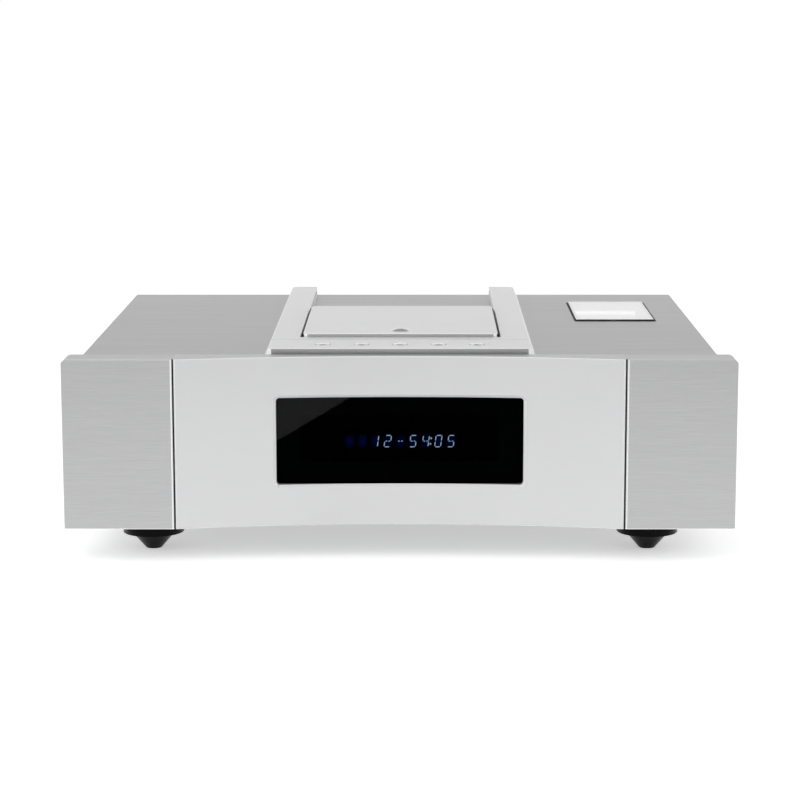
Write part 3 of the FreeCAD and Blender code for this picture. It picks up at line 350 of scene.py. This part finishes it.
MATERIALS = {
    "panel_blasted": satin("panel_blasted", 222, roughness=0.45, low_tint=0.74),
    "panel_brushed": brushed("panel_brushed", 193, roughness=0.38, low_tint=0.94),
    "case_brushed": brushed("case_brushed", 193, roughness=0.4, low_tint=0.84,
                            band=(7.0, 7.0), contrast=11, edge=205),
    "side_brushed": brushed("side_brushed", 193, roughness=0.4, low_tint=0.84,
                            streaks=ALONG_Y, edge=205),
    # The frame's faces to the front carry 44 levels of painted shade, and its chamfers that face up 16.
    "frame_satin": satin("frame_satin", 240, roughness=0.5, low_tint=0.95, front=44, top_edge_shade=16),
    "cap_polished": satin("cap_polished", 236, roughness=0.22, low_tint=0.95, grain=0.000004),
    "knob_satin": satin("knob_satin", 238, roughness=0.34, low_tint=0.95, grain=0.000004),
    "case_painted": painted("case_painted", colour(150, 151, 153), 0.45, metallic=0.3),
    "deck_painted": painted("deck_painted", colour(28, 28, 30), 0.5),
    "foot_black": painted("foot_black", colour(3, 3, 3), 0.22, grain=0.000004, specular=0.08),
    "lens_smoked": glass("lens_smoked", (0.032, 0.036, 0.046, 1.0), ior=1.15),
    "display_glass": glass("display_glass", (0.5, 0.55, 0.6, 1.0), ior=1.1),
    "circuit_board": circuit("circuit_board"),
    "black_plastic": painted("black_plastic", colour(30, 30, 31), 0.5),
    "gloss_black": painted("gloss_black", colour(12, 12, 13), 0.14, grain=0.000006, coat=0.4),
    "gear_nylon": painted("gear_nylon", colour(228, 224, 208), 0.4),
    "socket_ceramic": painted("socket_ceramic", colour(228, 224, 212), 0.22, grain=0.00001, coat=0.4),
    "steel": turned("steel", colour(190, 191, 194), 0.26),
    "winding": turned("winding", colour(190, 150, 70), 0.35),
    "grey_metal": turned("grey_metal", colour(96, 97, 99), 0.4),
    "brass": turned("brass", colour(226, 186, 104), 0.2),
    "soft_rubber": painted("soft_rubber", colour(20, 20, 20), 0.7),
    "clear_glass": glass("clear_glass", (0.98, 1.0, 0.99, 1.0), roughness=0.02),
    "window_glass": glass("window_glass", (0.98, 1.0, 0.99, 1.0), roughness=0.02,
                          coat=1.0, coat_ior=1.6),
    "black_oxide": turned("black_oxide", colour(44, 44, 46), 0.35),
    "lens_blue": painted("lens_blue", colour(22, 34, 82), 0.08, grain=0.000001, coat=1.0),
    "getter_silver": turned("getter_silver", colour(205, 206, 208), 0.1),
    "can_black": painted("can_black", colour(24, 26, 34), 0.25, grain=0.000005, coat=0.3),
    "film_red": painted("film_red", colour(138, 52, 34), 0.35, coat=0.2),
    "resistor_blue": painted("resistor_blue", colour(96, 146, 176), 0.3, coat=0.2),
}
BUTTONS = range(1, 6)
NODE_FINISH = {"side_left": "side_brushed", "side_right": "side_brushed", "finger_knob": "knob_satin",
               "tube_window": "window_glass",
               **{f"button_{number}": "cap_polished" for number in BUTTONS}}


def dress_nodes():
    slots = {part["node"]: part["material_slot"] for part in frame["record"]["subparts"]}
    for name, node in NODES.items():
        node.data.materials.clear()
        node.data.materials.append(MATERIALS[NODE_FINISH.get(name, slots[name])])


# Mesh helpers

MM = 0.001
MERGE_DISTANCE = 1e-7
UP = (0, 0, 1)
DOWN = (0, 0, -1)
TO_BACK = (0, 1, 0)
TO_RIGHT = (1, 0, 0)

Point = namedtuple("Point", "x y z")


def in_mm(box):
    """A box's low corner, high corner and middle, in millimetres."""
    low, high = box
    middle = [(a + b) / 2 for a, b in zip(low, high)]
    return [Point(*(value / MM for value in place)) for place in (low, high, middle)]


def piece(name, grid, material, body="case", angle=35.0):
    """Makes a grid an object that rides on a body, shaded smooth up to an angle."""
    bmesh.ops.remove_doubles(grid, verts=grid.verts, dist=MERGE_DISTANCE)
    bmesh.ops.recalc_face_normals(grid, faces=grid.faces)
    mesh = bpy.data.meshes.new(name)
    grid.to_mesh(mesh)
    grid.free()
    mesh.validate()
    mesh.polygons.foreach_set("use_smooth", [True] * len(mesh.polygons))
    mesh.set_sharp_from_angle(angle=math.radians(angle))
    mesh.materials.append(MATERIALS[material] if isinstance(material, str) else material)
    thing = bpy.data.objects.new(name, mesh)
    bpy.context.scene.collection.objects.link(thing)
    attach(thing, body)
    return thing


def add_rings(grid, rings, centre, axis, caps=(True, True)):
    """Skins rings of (across, across, along) points, in millimetres, placed at a centre along an axis."""
    turn = Vector(UP).rotation_difference(Vector(axis)).to_matrix()
    base = Vector(centre)
    loops = [[grid.verts.new((base + turn @ Vector(point)) * MM) for point in ring] for ring in rings]
    for low, high in zip(loops[:-1], loops[1:]):
        count = len(low)
        for index in range(count):
            following = (index + 1) % count
            grid.faces.new((low[index], low[following], high[following], high[index]))
    if caps[0]:
        grid.faces.new(list(reversed(loops[0])))
    if caps[1]:
        grid.faces.new(loops[-1])


def add_hoop(grid, rings, centre, axis=UP):
    """Skins rings that close on themselves, from the last one back to the first."""
    add_rings(grid, [*rings, rings[0]], centre, axis, caps=(False, False))


def round_ring(radius, level, segments=64):
    angles = [2 * math.pi * k / segments for k in range(segments)]
    return [(radius * math.cos(angle), radius * math.sin(angle), level) for angle in angles]


def hexagon_ring(radius, level, segments=24):
    """A ring of points round a hexagon of that corner radius."""
    sixth = math.pi / 3
    ring = []
    for k in range(segments):
        angle = 2 * math.pi * k / segments
        share = math.cos(sixth / 2) / math.cos((angle % sixth) - sixth / 2)
        ring.append((radius * share * math.cos(angle), radius * share * math.sin(angle), level))
    return ring


def tube(grid, inner, outer, low, high, centre):
    """An upright ring with a bore, its top edges broken."""
    edge = min(0.12, (outer - inner) / 3)
    add_hoop(grid, [round_ring(inner, low), round_ring(outer, low), round_ring(outer, high - edge),
                    round_ring(outer - edge, high), round_ring(inner + edge, high),
                    round_ring(inner, high - edge)], centre)


def lathe(grid, profile, centre, axis=UP, segments=64):
    """A turned solid from the (radius, level) points of its outline, bottom to top."""
    add_rings(grid, [round_ring(max(radius, 0.01), level, segments) for radius, level in profile],
              centre, axis)


def arc(centre_r, centre_z, radius, start, end, steps):
    """(radius, level) points along an arc between two angles in degrees."""
    angles = [math.radians(start + (end - start) * k / steps) for k in range(steps + 1)]
    return [(centre_r + radius * math.cos(angle), centre_z + radius * math.sin(angle))
            for angle in angles]


def soft_box(grid, low, high, bevel, segments=2):
    """A box with rounded edges, from two corners in millimetres."""
    made = bmesh.ops.create_cube(grid, size=1.0)["verts"]
    size = [b - a for a, b in zip(low, high)]
    for vert in made:
        vert.co = Vector([(a + (c + 0.5) * s) * MM for a, c, s in zip(low, vert.co, size)])
    edges = list({edge for vert in made for edge in vert.link_edges})
    bmesh.ops.bevel(grid, geom=edges, offset=bevel * MM, segments=segments, affect="EDGES", profile=0.5)


def socket_screw(grid, place, axis, radius=2.6, height=1.4):
    """A low screw head with a hexagonal socket."""
    edge = 0.25
    rings = [round_ring(radius, 0, 24), round_ring(radius, height - edge, 24),
             round_ring(radius - edge, height, 24), hexagon_ring(radius * 0.5, height),
             hexagon_ring(radius * 0.5, height * 0.3)]
    add_rings(grid, rings, place, axis)


# Front panel, button bar and lid

def groove_shade_strips():
    """A black strip at the bottom of the groove either side of the panel's middle piece: painted shade in
    the gap.
    """
    low, high, _ = in_mm(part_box("panel_centre"))
    front = in_mm(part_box("panel_end_left"))[0].y
    half_width = 0.58
    end_gap = 0.3
    grid = bmesh.new()
    for x in (low.x, high.x):
        soft_box(grid, (x - half_width, front + 1.6, low.z + end_gap),
                 (x + half_width, front + 2.96, high.z - end_gap), bevel=0.2)
    piece("groove_shade_strips", grid, "soft_rubber")


def button_gap_shade_rings():
    """A black ring in the gap round each button: painted shade in the gap."""
    top = in_mm(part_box("button_bar"))[1].z
    grid = bmesh.new()
    for number in BUTTONS:
        middle = in_mm(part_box(f"button_{number}"))[2]
        tube(grid, inner=5.0, outer=5.38, low=-2.0, high=-0.2, centre=(middle.x, middle.y, top))
    piece("button_gap_shade_rings", grid, "black_plastic")


def lid_gap_shade_strips():
    """A black strip along each side of the lid, in the gap to the arm: painted shade in the slit."""
    low, high, _ = in_mm(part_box("sliding_lid"))
    thickness = 1.0
    grid = bmesh.new()
    for near, far in ((low.x - thickness, low.x), (high.x, high.x + thickness)):
        soft_box(grid, (near, low.y + 3.0, high.z - 3.0), (far, high.y - 6.0, high.z - 1.0), bevel=0.2)
    piece("lid_gap_shade_strips", grid, "soft_rubber", "lid")


# Under the lid

RIBS = 72
RIB_POINTS = 4 * RIBS
RIB_DEPTH = 0.3


def knurled_ring(radius, level):
    """A ring of points that steps out and in again for each rib of a finger grip."""
    ring = []
    for k in range(RIB_POINTS):
        angle = 2 * math.pi * k / RIB_POINTS
        across = radius + (RIB_DEPTH if k % 4 in (1, 2) else 0.0)
        ring.append((across * math.cos(angle), across * math.sin(angle), level))
    return ring


def puck_details():
    """The knurled grip round the puck's waist, and a bright ring let into its dished top."""
    low, high, middle = in_mm(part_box("clamp_puck"))
    centre = (middle.x, middle.y, 0)
    top = high.z
    waist = (high.x - low.x) / 2 - 2.0
    ribs = [knurled_ring(waist - inset, top - drop)
            for inset, drop in ((0.1, 3.2), (0.0, 3.0), (0.0, 0.8), (0.1, 0.6))]
    grip = bmesh.new()
    add_hoop(grip, [round_ring(waist - 0.4, top - 3.3, RIB_POINTS), *ribs,
                    round_ring(waist - 0.4, top - 0.5, RIB_POINTS)], centre)
    piece("puck_grip", grip, "gloss_black", "puck")
    inner = 9.0
    outer = 12.4
    bevel = 0.15
    dish = 1.0
    profile = [(inner, -0.3), (outer, -0.3), (outer, 0.08), (outer - bevel, 0.16),
               (inner + bevel, 0.16), (inner, 0.08)]
    inlay = bmesh.new()
    add_hoop(inlay, [round_ring(radius, top - dish + dish * radius / waist + rise, 96)
                     for radius, rise in profile], centre)
    piece("puck_inlay", inlay, "cap_polished", "puck")


def lens_details():
    """The laser's glass and the gilt ring that holds it."""
    _, high, middle = in_mm(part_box("objective_lens"))
    top = high.z
    bezel = bmesh.new()
    tube(bezel, inner=2.55, outer=3.4, low=-1.0, high=-0.35, centre=(middle.x, middle.y, top))
    piece("lens_bezel", bezel, "brass", "sled")
    radius = 2.42
    angles = [math.radians(angle) for angle in range(0, 90, 9)]
    dome = [(radius * math.cos(angle), top - 0.82 + 0.86 * math.sin(angle)) for angle in angles]
    lens = bmesh.new()
    lathe(lens, [(radius, top - 1.0), *dome], (middle.x, middle.y, 0), segments=48)
    piece("lens_glass", lens, "lens_blue", "sled")


# Display

SEGMENTS = {"1": "bc", "2": "abged", "5": "afgcd", "4": "fgbc", "0": "abcdef", "-": "g"}
READING = "  12-5405"
COLON_CELL = 6.4
COLON_LEVELS = (-1.9, 1.9)
COLON_HALF = 0.5
CELL_COUNT = len(READING)
CELL_PITCH = 8.52
CELL_WIDTH = 4.0
CELL_HEIGHT = 7.8
CELL_LEVEL = 80.4
CELL_OFFSET = 0.35
CELL_LEAN = 0.145
STROKE = 0.56
STROKE_GAP = 0.4
DIGIT_THICKNESS = 0.08
HAZE_THICKNESS = 0.04
HAZE_HALF_HEIGHT = 8.0
DISPLAY_PLANE = -163.75


def cell_middle(cell):
    return (cell - (CELL_COUNT - 1) / 2) * CELL_PITCH + CELL_OFFSET


def bar_points(start, end):
    """A segment's outline between two ends: a thin bar with pointed ends, less a gap at each end."""
    along = (Vector(end) - Vector(start)).normalized()
    across = Vector((-along.y, along.x)) * STROKE / 2
    a = Vector(start) + along * STROKE_GAP
    b = Vector(end) - along * STROKE_GAP
    tip = along * STROKE / 2
    return [a - tip * 0.2, a + tip + across, b - tip + across,
            b + tip * 0.2, b - tip - across, a + tip - across]


def add_segments(grid, cell, names):
    """Adds the named segments of one cell as thin plates on the display's front."""
    right = CELL_WIDTH / 2
    top = CELL_HEIGHT / 2
    lines = {
        "a": [((-right, top), (right, top))],
        "b": [((right, 0), (right, top))],
        "c": [((right, -top), (right, 0))],
        "d": [((-right, -top), (right, -top))],
        "e": [((-right, -top), (-right, 0))],
        "f": [((-right, 0), (-right, top))],
        "g": [((-right, 0), (0, 0)), ((0, 0), (right, 0))],
    }
    middle = cell_middle(cell)
    for start, end in (line for name in names for line in lines[name]):
        outline = [(middle + point.x + point.y * CELL_LEAN, CELL_LEVEL + point.y)
                   for point in bar_points(start, end)]
        rings = [[(x, y, z) for x, z in outline] for y in (DISPLAY_PLANE, DISPLAY_PLANE - DIGIT_THICKNESS)]
        add_rings(grid, rings, (0, 0, 0), UP)


def add_colon(grid):
    for level in COLON_LEVELS:
        x = cell_middle(COLON_CELL) + level * CELL_LEAN
        z = CELL_LEVEL + level
        soft_box(grid, (x - COLON_HALF, DISPLAY_PLANE - DIGIT_THICKNESS, z - COLON_HALF),
                 (x + COLON_HALF, DISPLAY_PLANE, z + COLON_HALF), bevel=0.03, segments=1)


def display_digits():
    """The lit segments, the unlit ones with a faint painted glow, and a painted glow round them."""
    lit = bmesh.new()
    unlit = bmesh.new()
    for cell, sign in enumerate(READING):
        shown = SEGMENTS.get(sign, "")
        add_segments(lit, cell, shown)
        add_segments(unlit, cell, [name for name in "abcdefg" if name not in shown])
    add_colon(lit)
    piece("display_digits_lit", lit, glow("digits_lit", (0.68, 0.92, 1.0, 1.0), strength=12.5))
    # The unlit segments carry a faint painted glow.
    piece("display_digits_unlit", unlit, glow("digits_unlit", (0.02, 0.03, 1.0, 1.0), strength=0.35))
    haze = bmesh.new()
    soft_box(haze, (cell_middle(-0.5), DISPLAY_PLANE - HAZE_THICKNESS, CELL_LEVEL - HAZE_HALF_HEIGHT),
             (cell_middle(CELL_COUNT - 0.5), DISPLAY_PLANE, CELL_LEVEL + HAZE_HALF_HEIGHT),
             bevel=0.01, segments=1)
    piece("display_glow_haze", haze, cell_glow_haze("display_glow_haze"))


def cell_glow_haze(name):
    """A painted blue glow that spills round each digit of the display, brightest in the middle of its
    cell.
    """
    s = Shader(name)
    source = s.add("ShaderNodeTexCoord")
    place = s.add("ShaderNodeSeparateXYZ")
    s.link(source.outputs["Object"], place.inputs[0])
    from_left = s.math("SUBTRACT", place.outputs["X"], cell_middle(-0.5) * MM)
    in_cell = s.math("FRACT", s.math("DIVIDE", from_left, CELL_PITCH * MM))
    across = s.math("MULTIPLY", s.math("SUBTRACT", in_cell, 0.5), 1.5)
    above = s.math("SUBTRACT", place.outputs["Z"], CELL_LEVEL * MM)
    up = s.math("DIVIDE", above, CELL_HEIGHT * 1.05 * MM)
    squares = [s.math("MULTIPLY", side, side) for side in (across, up)]
    radius = s.math("SQRT", s.math("ADD", *squares))
    near = s.mapped(radius, 1.0, 0.0, 0.1, 0.78)
    grains = s.noise(700.0, detail=2.0, roughness=0.5)
    level = s.math("MULTIPLY", s.math("MULTIPLY", near, near), s.mapped(grains, 0.7, 1.0))
    s.feed("Emission Color", s.ramp(level, [(0.0, (0.0, 0.0, 0.0, 1.0)), (1.0, (0.03, 0.1, 1.0, 1.0))]))
    s.feed("Base Color", s.mottled(grains, grey(2), grey(4)))
    s.set(Roughness=0.6, Specular_IOR_Level=0.0, Emission_Strength=0.65)
    return s.material


# Feet

FOOT_TIP = 5.5
FOOT_CONE = 15.4
FOOT_DISC_LEVEL = 11.4
FOOT_LIP = 0.3


def feet():
    for end in ("front_left", "front_right", "rear_left", "rear_right"):
        low, high, middle = in_mm(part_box(f"foot_{end}"))
        radius = (high.x - low.x) / 2
        profile = [(FOOT_TIP, 0.0), (FOOT_TIP + 0.2, 0.2),
                   (FOOT_CONE - 0.4, FOOT_DISC_LEVEL - 0.3), (FOOT_CONE, FOOT_DISC_LEVEL),
                   (radius - 0.15, FOOT_DISC_LEVEL), (radius, FOOT_DISC_LEVEL + 0.15),
                   *arc(radius - FOOT_LIP, high.z - FOOT_LIP, FOOT_LIP, 0, 90, steps=4)]
        grid = bmesh.new()
        lathe(grid, profile, (middle.x, middle.y, 0.0), segments=128)
        shown = piece(f"foot_{end}_turned", grid, "foot_black", angle=50.0)
        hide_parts(f"foot_{end}")


# Back and underside

REAR_SCREWS = (-202.0, -120.0, -45.0, 45.0, 120.0, 202.0)
BOTTOM_SCREWS = (-200.0, -66.0, 66.0, 200.0)
PLATE_SCREW_INSET = 6.0
BOARD_SCREW_INSET = 4.0
INLET_SCREW_SPREAD = 20.0
JACKS = ((30.0, "right", colour(176, 28, 24)), (52.0, "left", colour(232, 232, 228)),
         (90.0, "digital", colour(226, 128, 24)))


def rear_hardware():
    low, high, _ = in_mm(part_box("rear_panel"))
    grid = bmesh.new()
    for x in REAR_SCREWS:
        for z in (low.z + PLATE_SCREW_INSET, high.z - PLATE_SCREW_INSET):
            socket_screw(grid, (x, high.y, z), TO_BACK)
    _, inlet, middle = in_mm(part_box("mains_inlet"))
    for x in (middle.x - INLET_SCREW_SPREAD, middle.x + INLET_SCREW_SPREAD):
        socket_screw(grid, (x, inlet.y - 2.3, middle.z), TO_BACK, radius=2.4, height=3.2)
    piece("rear_screws", grid, "black_oxide")


def jack_rings():
    """The coloured insulator in each phono socket's mouth."""
    _, high, middle = in_mm(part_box("rca_jacks"))
    profile = ((3.55, 0.02), (3.55, 0.45), (3.3, 0.7), (2.0, 0.7), (1.65, 0.4), (1.65, 0.02))
    for x, name, tone in JACKS:
        grid = bmesh.new()
        add_rings(grid, [round_ring(radius, level) for radius, level in profile],
                  (x, high.y - 1.0, middle.z), TO_BACK, caps=(False, False))
        piece(f"jack_ring_{name}", grid, painted(f"jack_ring_{name}", tone, 0.3, grain=0.00001))


def bottom_hardware():
    low, high, _ = in_mm(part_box("bottom_plate"))
    under = low.z
    grid = bmesh.new()
    for x in BOTTOM_SCREWS:
        for y in (low.y + PLATE_SCREW_INSET, high.y - PLATE_SCREW_INSET):
            socket_screw(grid, (x, y, under), DOWN)
    for board in ("main_board", "power_board", "tube_board"):
        low, high, _ = in_mm(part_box(board))
        for x in (low.x + BOARD_SCREW_INSET, high.x - BOARD_SCREW_INSET):
            for y in (low.y + BOARD_SCREW_INSET, high.y - BOARD_SCREW_INSET):
                socket_screw(grid, (x, y, under), DOWN, radius=2.2, height=1.1)
    middle = in_mm(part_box("transformer"))[2]
    socket_screw(grid, (middle.x, middle.y, under), DOWN, radius=5.0, height=2.6)
    piece("bottom_screws", grid, "black_oxide")


# Valve stage

CROWN_HEIGHT = 50.0
HEATER_SPREAD = 3.2
PIN_CIRCLE = 5.9
PIN_PLACES = 10
SOCKET_REACH = 14
CAN_INSET = (9.0, 20.0)
FILM_INSET = 4.0
FILM_SIZE = (8.0, 18.0, 11.0)
RESISTOR_INSET = (22.0, 8.0)
RESISTOR_ROWS = 6
RESISTOR_LENGTH = 9.0

# Outlines of (radius, level) points.
GETTER = ((9.2, -12.0), (9.3, -6.4), (2.1, -1.5))
PIN = ((0.5, 0.0), (0.5, 1.6), (0.2, 2.0))
CAN = ((4.8, 0.0), (5.0, 0.4), (5.0, 1.6), (4.7, 2.0), (5.0, 2.4), (5.0, 13.4), (4.7, 13.9), (4.2, 14.0))
RESISTOR = ((0.5, 0.0), (1.5, 0.6), (1.6, 1.4), (1.3, 2.4), (1.3, 6.6), (1.6, 7.6), (1.5, 8.4),
            (0.5, RESISTOR_LENGTH))


def valve_insides():
    """The silver getter and the glowing heaters in each valve, and the pins under it."""
    silver = bmesh.new()
    heat = bmesh.new()
    pins = bmesh.new()
    for end in ("front", "rear"):
        low, _, middle = in_mm(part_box(f"vacuum_tube_{end}"))
        x, y, base = middle.x, middle.y, low.z
        rings = [round_ring(radius, base + CROWN_HEIGHT + level) for radius, level in GETTER]
        add_rings(silver, rings, (x, y, 0), UP, caps=(False, True))
        for heater in (x - HEATER_SPREAD, x + HEATER_SPREAD):
            lathe(heat, [(0.7, 0.0), (0.7, 26.2)], (heater, y, base + 6.6), segments=16)
        for k in range(PIN_PLACES - 1):
            angle = 2 * math.pi * (k + 0.5) / PIN_PLACES
            place = (x + PIN_CIRCLE * math.cos(angle), y + PIN_CIRCLE * math.sin(angle), base + 2.0)
            lathe(pins, PIN, place, segments=12)
    piece("valve_getters", silver, "getter_silver")
    piece("valve_heaters", heat, glow("heater_glow", (1.0, 0.3, 0.06, 1.0), strength=6.0))
    piece("valve_pins", pins, "steel")


def valve_board_parts():
    """The parts on the valves' board, clear of the sockets."""
    low, high, middle = in_mm(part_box("tube_board"))
    top = high.z
    cans = bmesh.new()
    across, along = CAN_INSET
    for x in (low.x + across, high.x - across):
        for y in (low.y + along, high.y - along):
            lathe(cans, CAN, (x, y, top), segments=40)
    piece("tube_board_cans", cans, "can_black")
    films = bmesh.new()
    width, length, height = FILM_SIZE
    for x in (low.x + FILM_INSET, high.x - FILM_INSET - width):
        soft_box(films, (x, middle.y - length / 2, top),
                 (x + width, middle.y + length / 2, top + height), bevel=0.8)
    piece("tube_board_films", films, "film_red")
    resistors = bmesh.new()
    sockets = [in_mm(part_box(f"vacuum_tube_{end}"))[2].y for end in ("front", "rear")]
    across, along = RESISTOR_INSET
    for k in range(RESISTOR_ROWS):
        y = low.y + along + k * (high.y - low.y - 2 * along) / (RESISTOR_ROWS - 1)
        if min(abs(y - socket) for socket in sockets) >= SOCKET_REACH:
            for x in (low.x + across, high.x - across):
                lathe(resistors, RESISTOR, (x - RESISTOR_LENGTH / 2, y, top + 1.8), TO_RIGHT, segments=24)
    piece("tube_board_resistors", resistors, "resistor_blue")


def dress():
    groove_shade_strips()
    button_gap_shade_rings()
    lid_gap_shade_strips()
    puck_details()
    lens_details()
    display_digits()
    feet()
    rear_hardware()
    jack_rings()
    bottom_hardware()
    valve_insides()
    valve_board_parts()


# Studio

def node_maths(tree, operation, *values):
    node = tree.nodes.new("ShaderNodeMath")
    node.operation = operation
    for value, socket in zip(values, node.inputs):
        if isinstance(value, float):
            socket.default_value = value
        else:
            tree.links.new(value, socket)
    return node.outputs[0]


def unflagged(tree, path):
    """0 for the sharp reflections, which see a dark studio, and 1 for all other light."""
    rays = (path.outputs["Is Singular Ray"], path.outputs["Is Reflection Ray"])
    return node_maths(tree, "SUBTRACT", 1.0, node_maths(tree, "MULTIPLY", *rays))


def mixed_strength(tree, path, camera, glossy, transmission):
    """A strength that depends on the kind of ray that meets the surface."""
    rays = {"Is Camera Ray": camera, "Is Glossy Ray": glossy, "Is Transmission Ray": transmission}
    shares = [node_maths(tree, "MULTIPLY", path.outputs[ray], share) for ray, share in rays.items()]
    largest = node_maths(tree, "MAXIMUM", node_maths(tree, "MAXIMUM", *shares[:2]), shares[2])
    return node_maths(tree, "MULTIPLY", largest, unflagged(tree, path))


def pale_surface(name, value, camera, glossy, transmission):
    """A diffuse surface with a light of its own for the camera, reflections and glass."""
    material = bpy.data.materials.new(name)
    material.use_nodes = True
    tree = material.node_tree
    tree.nodes.clear()
    output = tree.nodes.new("ShaderNodeOutputMaterial")
    path = tree.nodes.new("ShaderNodeLightPath")
    diffuse = tree.nodes.new("ShaderNodeBsdfDiffuse")
    shade = node_maths(tree, "MULTIPLY", unflagged(tree, path), value)
    tree.links.new(shade, diffuse.inputs["Color"])
    emission = tree.nodes.new("ShaderNodeEmission")
    both = tree.nodes.new("ShaderNodeAddShader")
    strength = mixed_strength(tree, path, camera, glossy, transmission)
    tree.links.new(strength, emission.inputs["Strength"])
    tree.links.new(diffuse.outputs[0], both.inputs[0])
    tree.links.new(emission.outputs[0], both.inputs[1])
    tree.links.new(both.outputs[0], output.inputs["Surface"])
    return material


def studio_world():
    """A dim sky that lights the part, and a white one for the camera, reflections and glass."""
    world = bpy.data.worlds.new("studio")
    bpy.context.scene.world = world
    world.use_nodes = True
    tree = world.node_tree
    tree.nodes.clear()
    output = tree.nodes.new("ShaderNodeOutputWorld")
    path = tree.nodes.new("ShaderNodeLightPath")
    light = tree.nodes.new("ShaderNodeBackground")
    light.inputs["Color"].default_value = (0.985, 0.992, 1.0, 1.0)
    dimmed = node_maths(tree, "MULTIPLY", unflagged(tree, path), 0.6)
    tree.links.new(dimmed, light.inputs["Strength"])
    white = tree.nodes.new("ShaderNodeBackground")
    white.inputs["Color"].default_value = (1.0, 1.0, 1.0, 1.0)
    mixed = tree.nodes.new("ShaderNodeMixShader")
    tree.links.new(mixed_strength(tree, path, 1.0, 1.0, 1.0), mixed.inputs["Fac"])
    tree.links.new(light.outputs[0], mixed.inputs[1])
    tree.links.new(white.outputs[0], mixed.inputs[2])
    tree.links.new(mixed.outputs[0], output.inputs["Surface"])


def level_sheet(left, right, front, back, height):
    """The corners of a level rectangle."""
    return [(left, front, height), (right, front, height), (right, back, height), (left, back, height)]


def upright_sheet(left, right, depth, top):
    """The corners of a rectangle that stands on the floor across the view."""
    return [(left, depth, 0.0), (right, depth, 0.0), (right, depth, top), (left, depth, top)]


def stage_plane(name, corners, material):
    mesh = bpy.data.meshes.new(name)
    mesh.from_pydata(corners, [], [(0, 1, 2, 3)])
    mesh.materials.append(material)
    plane = bpy.data.objects.new(name, mesh)
    bpy.context.scene.collection.objects.link(plane)
    return plane


def card(name, corners, glossy=0.0):
    """A grey card that only reflections show, dark unless it is given a light for them."""
    surface = pale_surface(f"{name}_grey", 0.2, camera=0.0, glossy=glossy, transmission=0.0)
    plane = stage_plane(name, corners, surface)
    plane.visible_camera = False
    plane.visible_diffuse = False
    plane.visible_shadow = False
    plane.visible_transmission = False


def area_light(name, place, rotation, width, height, radiance):
    """A rectangular lamp that the camera doesn't see."""
    data = bpy.data.lights.new(name, "AREA")
    data.shape = "RECTANGLE"
    data.size = width
    data.size_y = height
    data.energy = radiance * 4 * width * height
    lamp = bpy.data.objects.new(name, data)
    bpy.context.scene.collection.objects.link(lamp)
    lamp.location = place
    lamp.rotation_euler = rotation
    lamp.visible_camera = False
    return lamp


def aimed_light(name, place, target, width, height, radiance):
    rotation = (Vector(target) - Vector(place)).to_track_quat("-Z", "Y").to_euler()
    area_light(name, place, rotation, width, height, radiance)


def lens_reflection():
    """A pale sheet of light on the floor at the left, for the display's lens alone to mirror."""
    facing_up = (math.pi, 0.0, math.radians(14.3))
    lamp = area_light("lens_sheet", (-0.3207, -0.7612, 0.002), facing_up,
                      width=0.5, height=1.2, radiance=1.75)
    lens_only = bpy.data.collections.new("lens_only")
    lens_only.objects.link(NODES["display_lens"])
    lamp.light_linking.receiver_collection = lens_only


def studio():
    studio_world()
    reach = 60.0
    stage_plane("floor", level_sheet(-reach, reach, -reach, reach, 0.0),
                pale_surface("floor_white", 0.93, camera=0.47, glossy=0.5, transmission=0.3))
    card("front_flag", upright_sheet(left=-2.6, right=2.6, depth=-3.1, top=1.7))
    card("top_flag", level_sheet(left=-0.8, right=0.8, front=0.25, back=1.15, height=1.0))
    for side, name in ((-1, "left_card"), (1, "right_card")):
        card(name, level_sheet(side * 0.35, side * 1.8, front=-0.7, back=0.4, height=0.001), glossy=1.0)
    aimed_light("key", (-0.9, -1.6, 2.1), (0.0, 0.0, 0.08), width=1.8, height=1.4, radiance=1.05)
    for side, name in ((-1, "side_left"), (1, "side_right")):
        aimed_light(name, (side * 1.5, -0.25, 0.6), (0.0, -0.1, 0.1), width=1.1, height=0.9, radiance=1.0)
    lens_reflection()


# Camera

SENSOR_WIDTH = 36.0
PICTURE_PIXELS = 800.0
FOCAL_PIXELS = 2421.0
CAMERA_PLACE = (0.0126, -1.7675, 0.384)
CAMERA_DOWN = 9.75


def camera():
    data = bpy.data.cameras.new("camera")
    data.sensor_width = SENSOR_WIDTH
    data.lens = FOCAL_PIXELS / PICTURE_PIXELS * SENSOR_WIDTH
    data.shift_x = -0.02325
    data.clip_start = 0.05
    data.clip_end = 120.0
    cam = bpy.data.objects.new("camera", data)
    bpy.context.scene.collection.objects.link(cam)
    cam.location = CAMERA_PLACE
    cam.rotation_euler = (math.radians(90.0 - CAMERA_DOWN), 0.0, 0.0)
    bpy.context.scene.camera = cam


bpy.context.scene.view_settings.view_transform = "Standard"
dress_nodes()
dress()
studio()
camera()
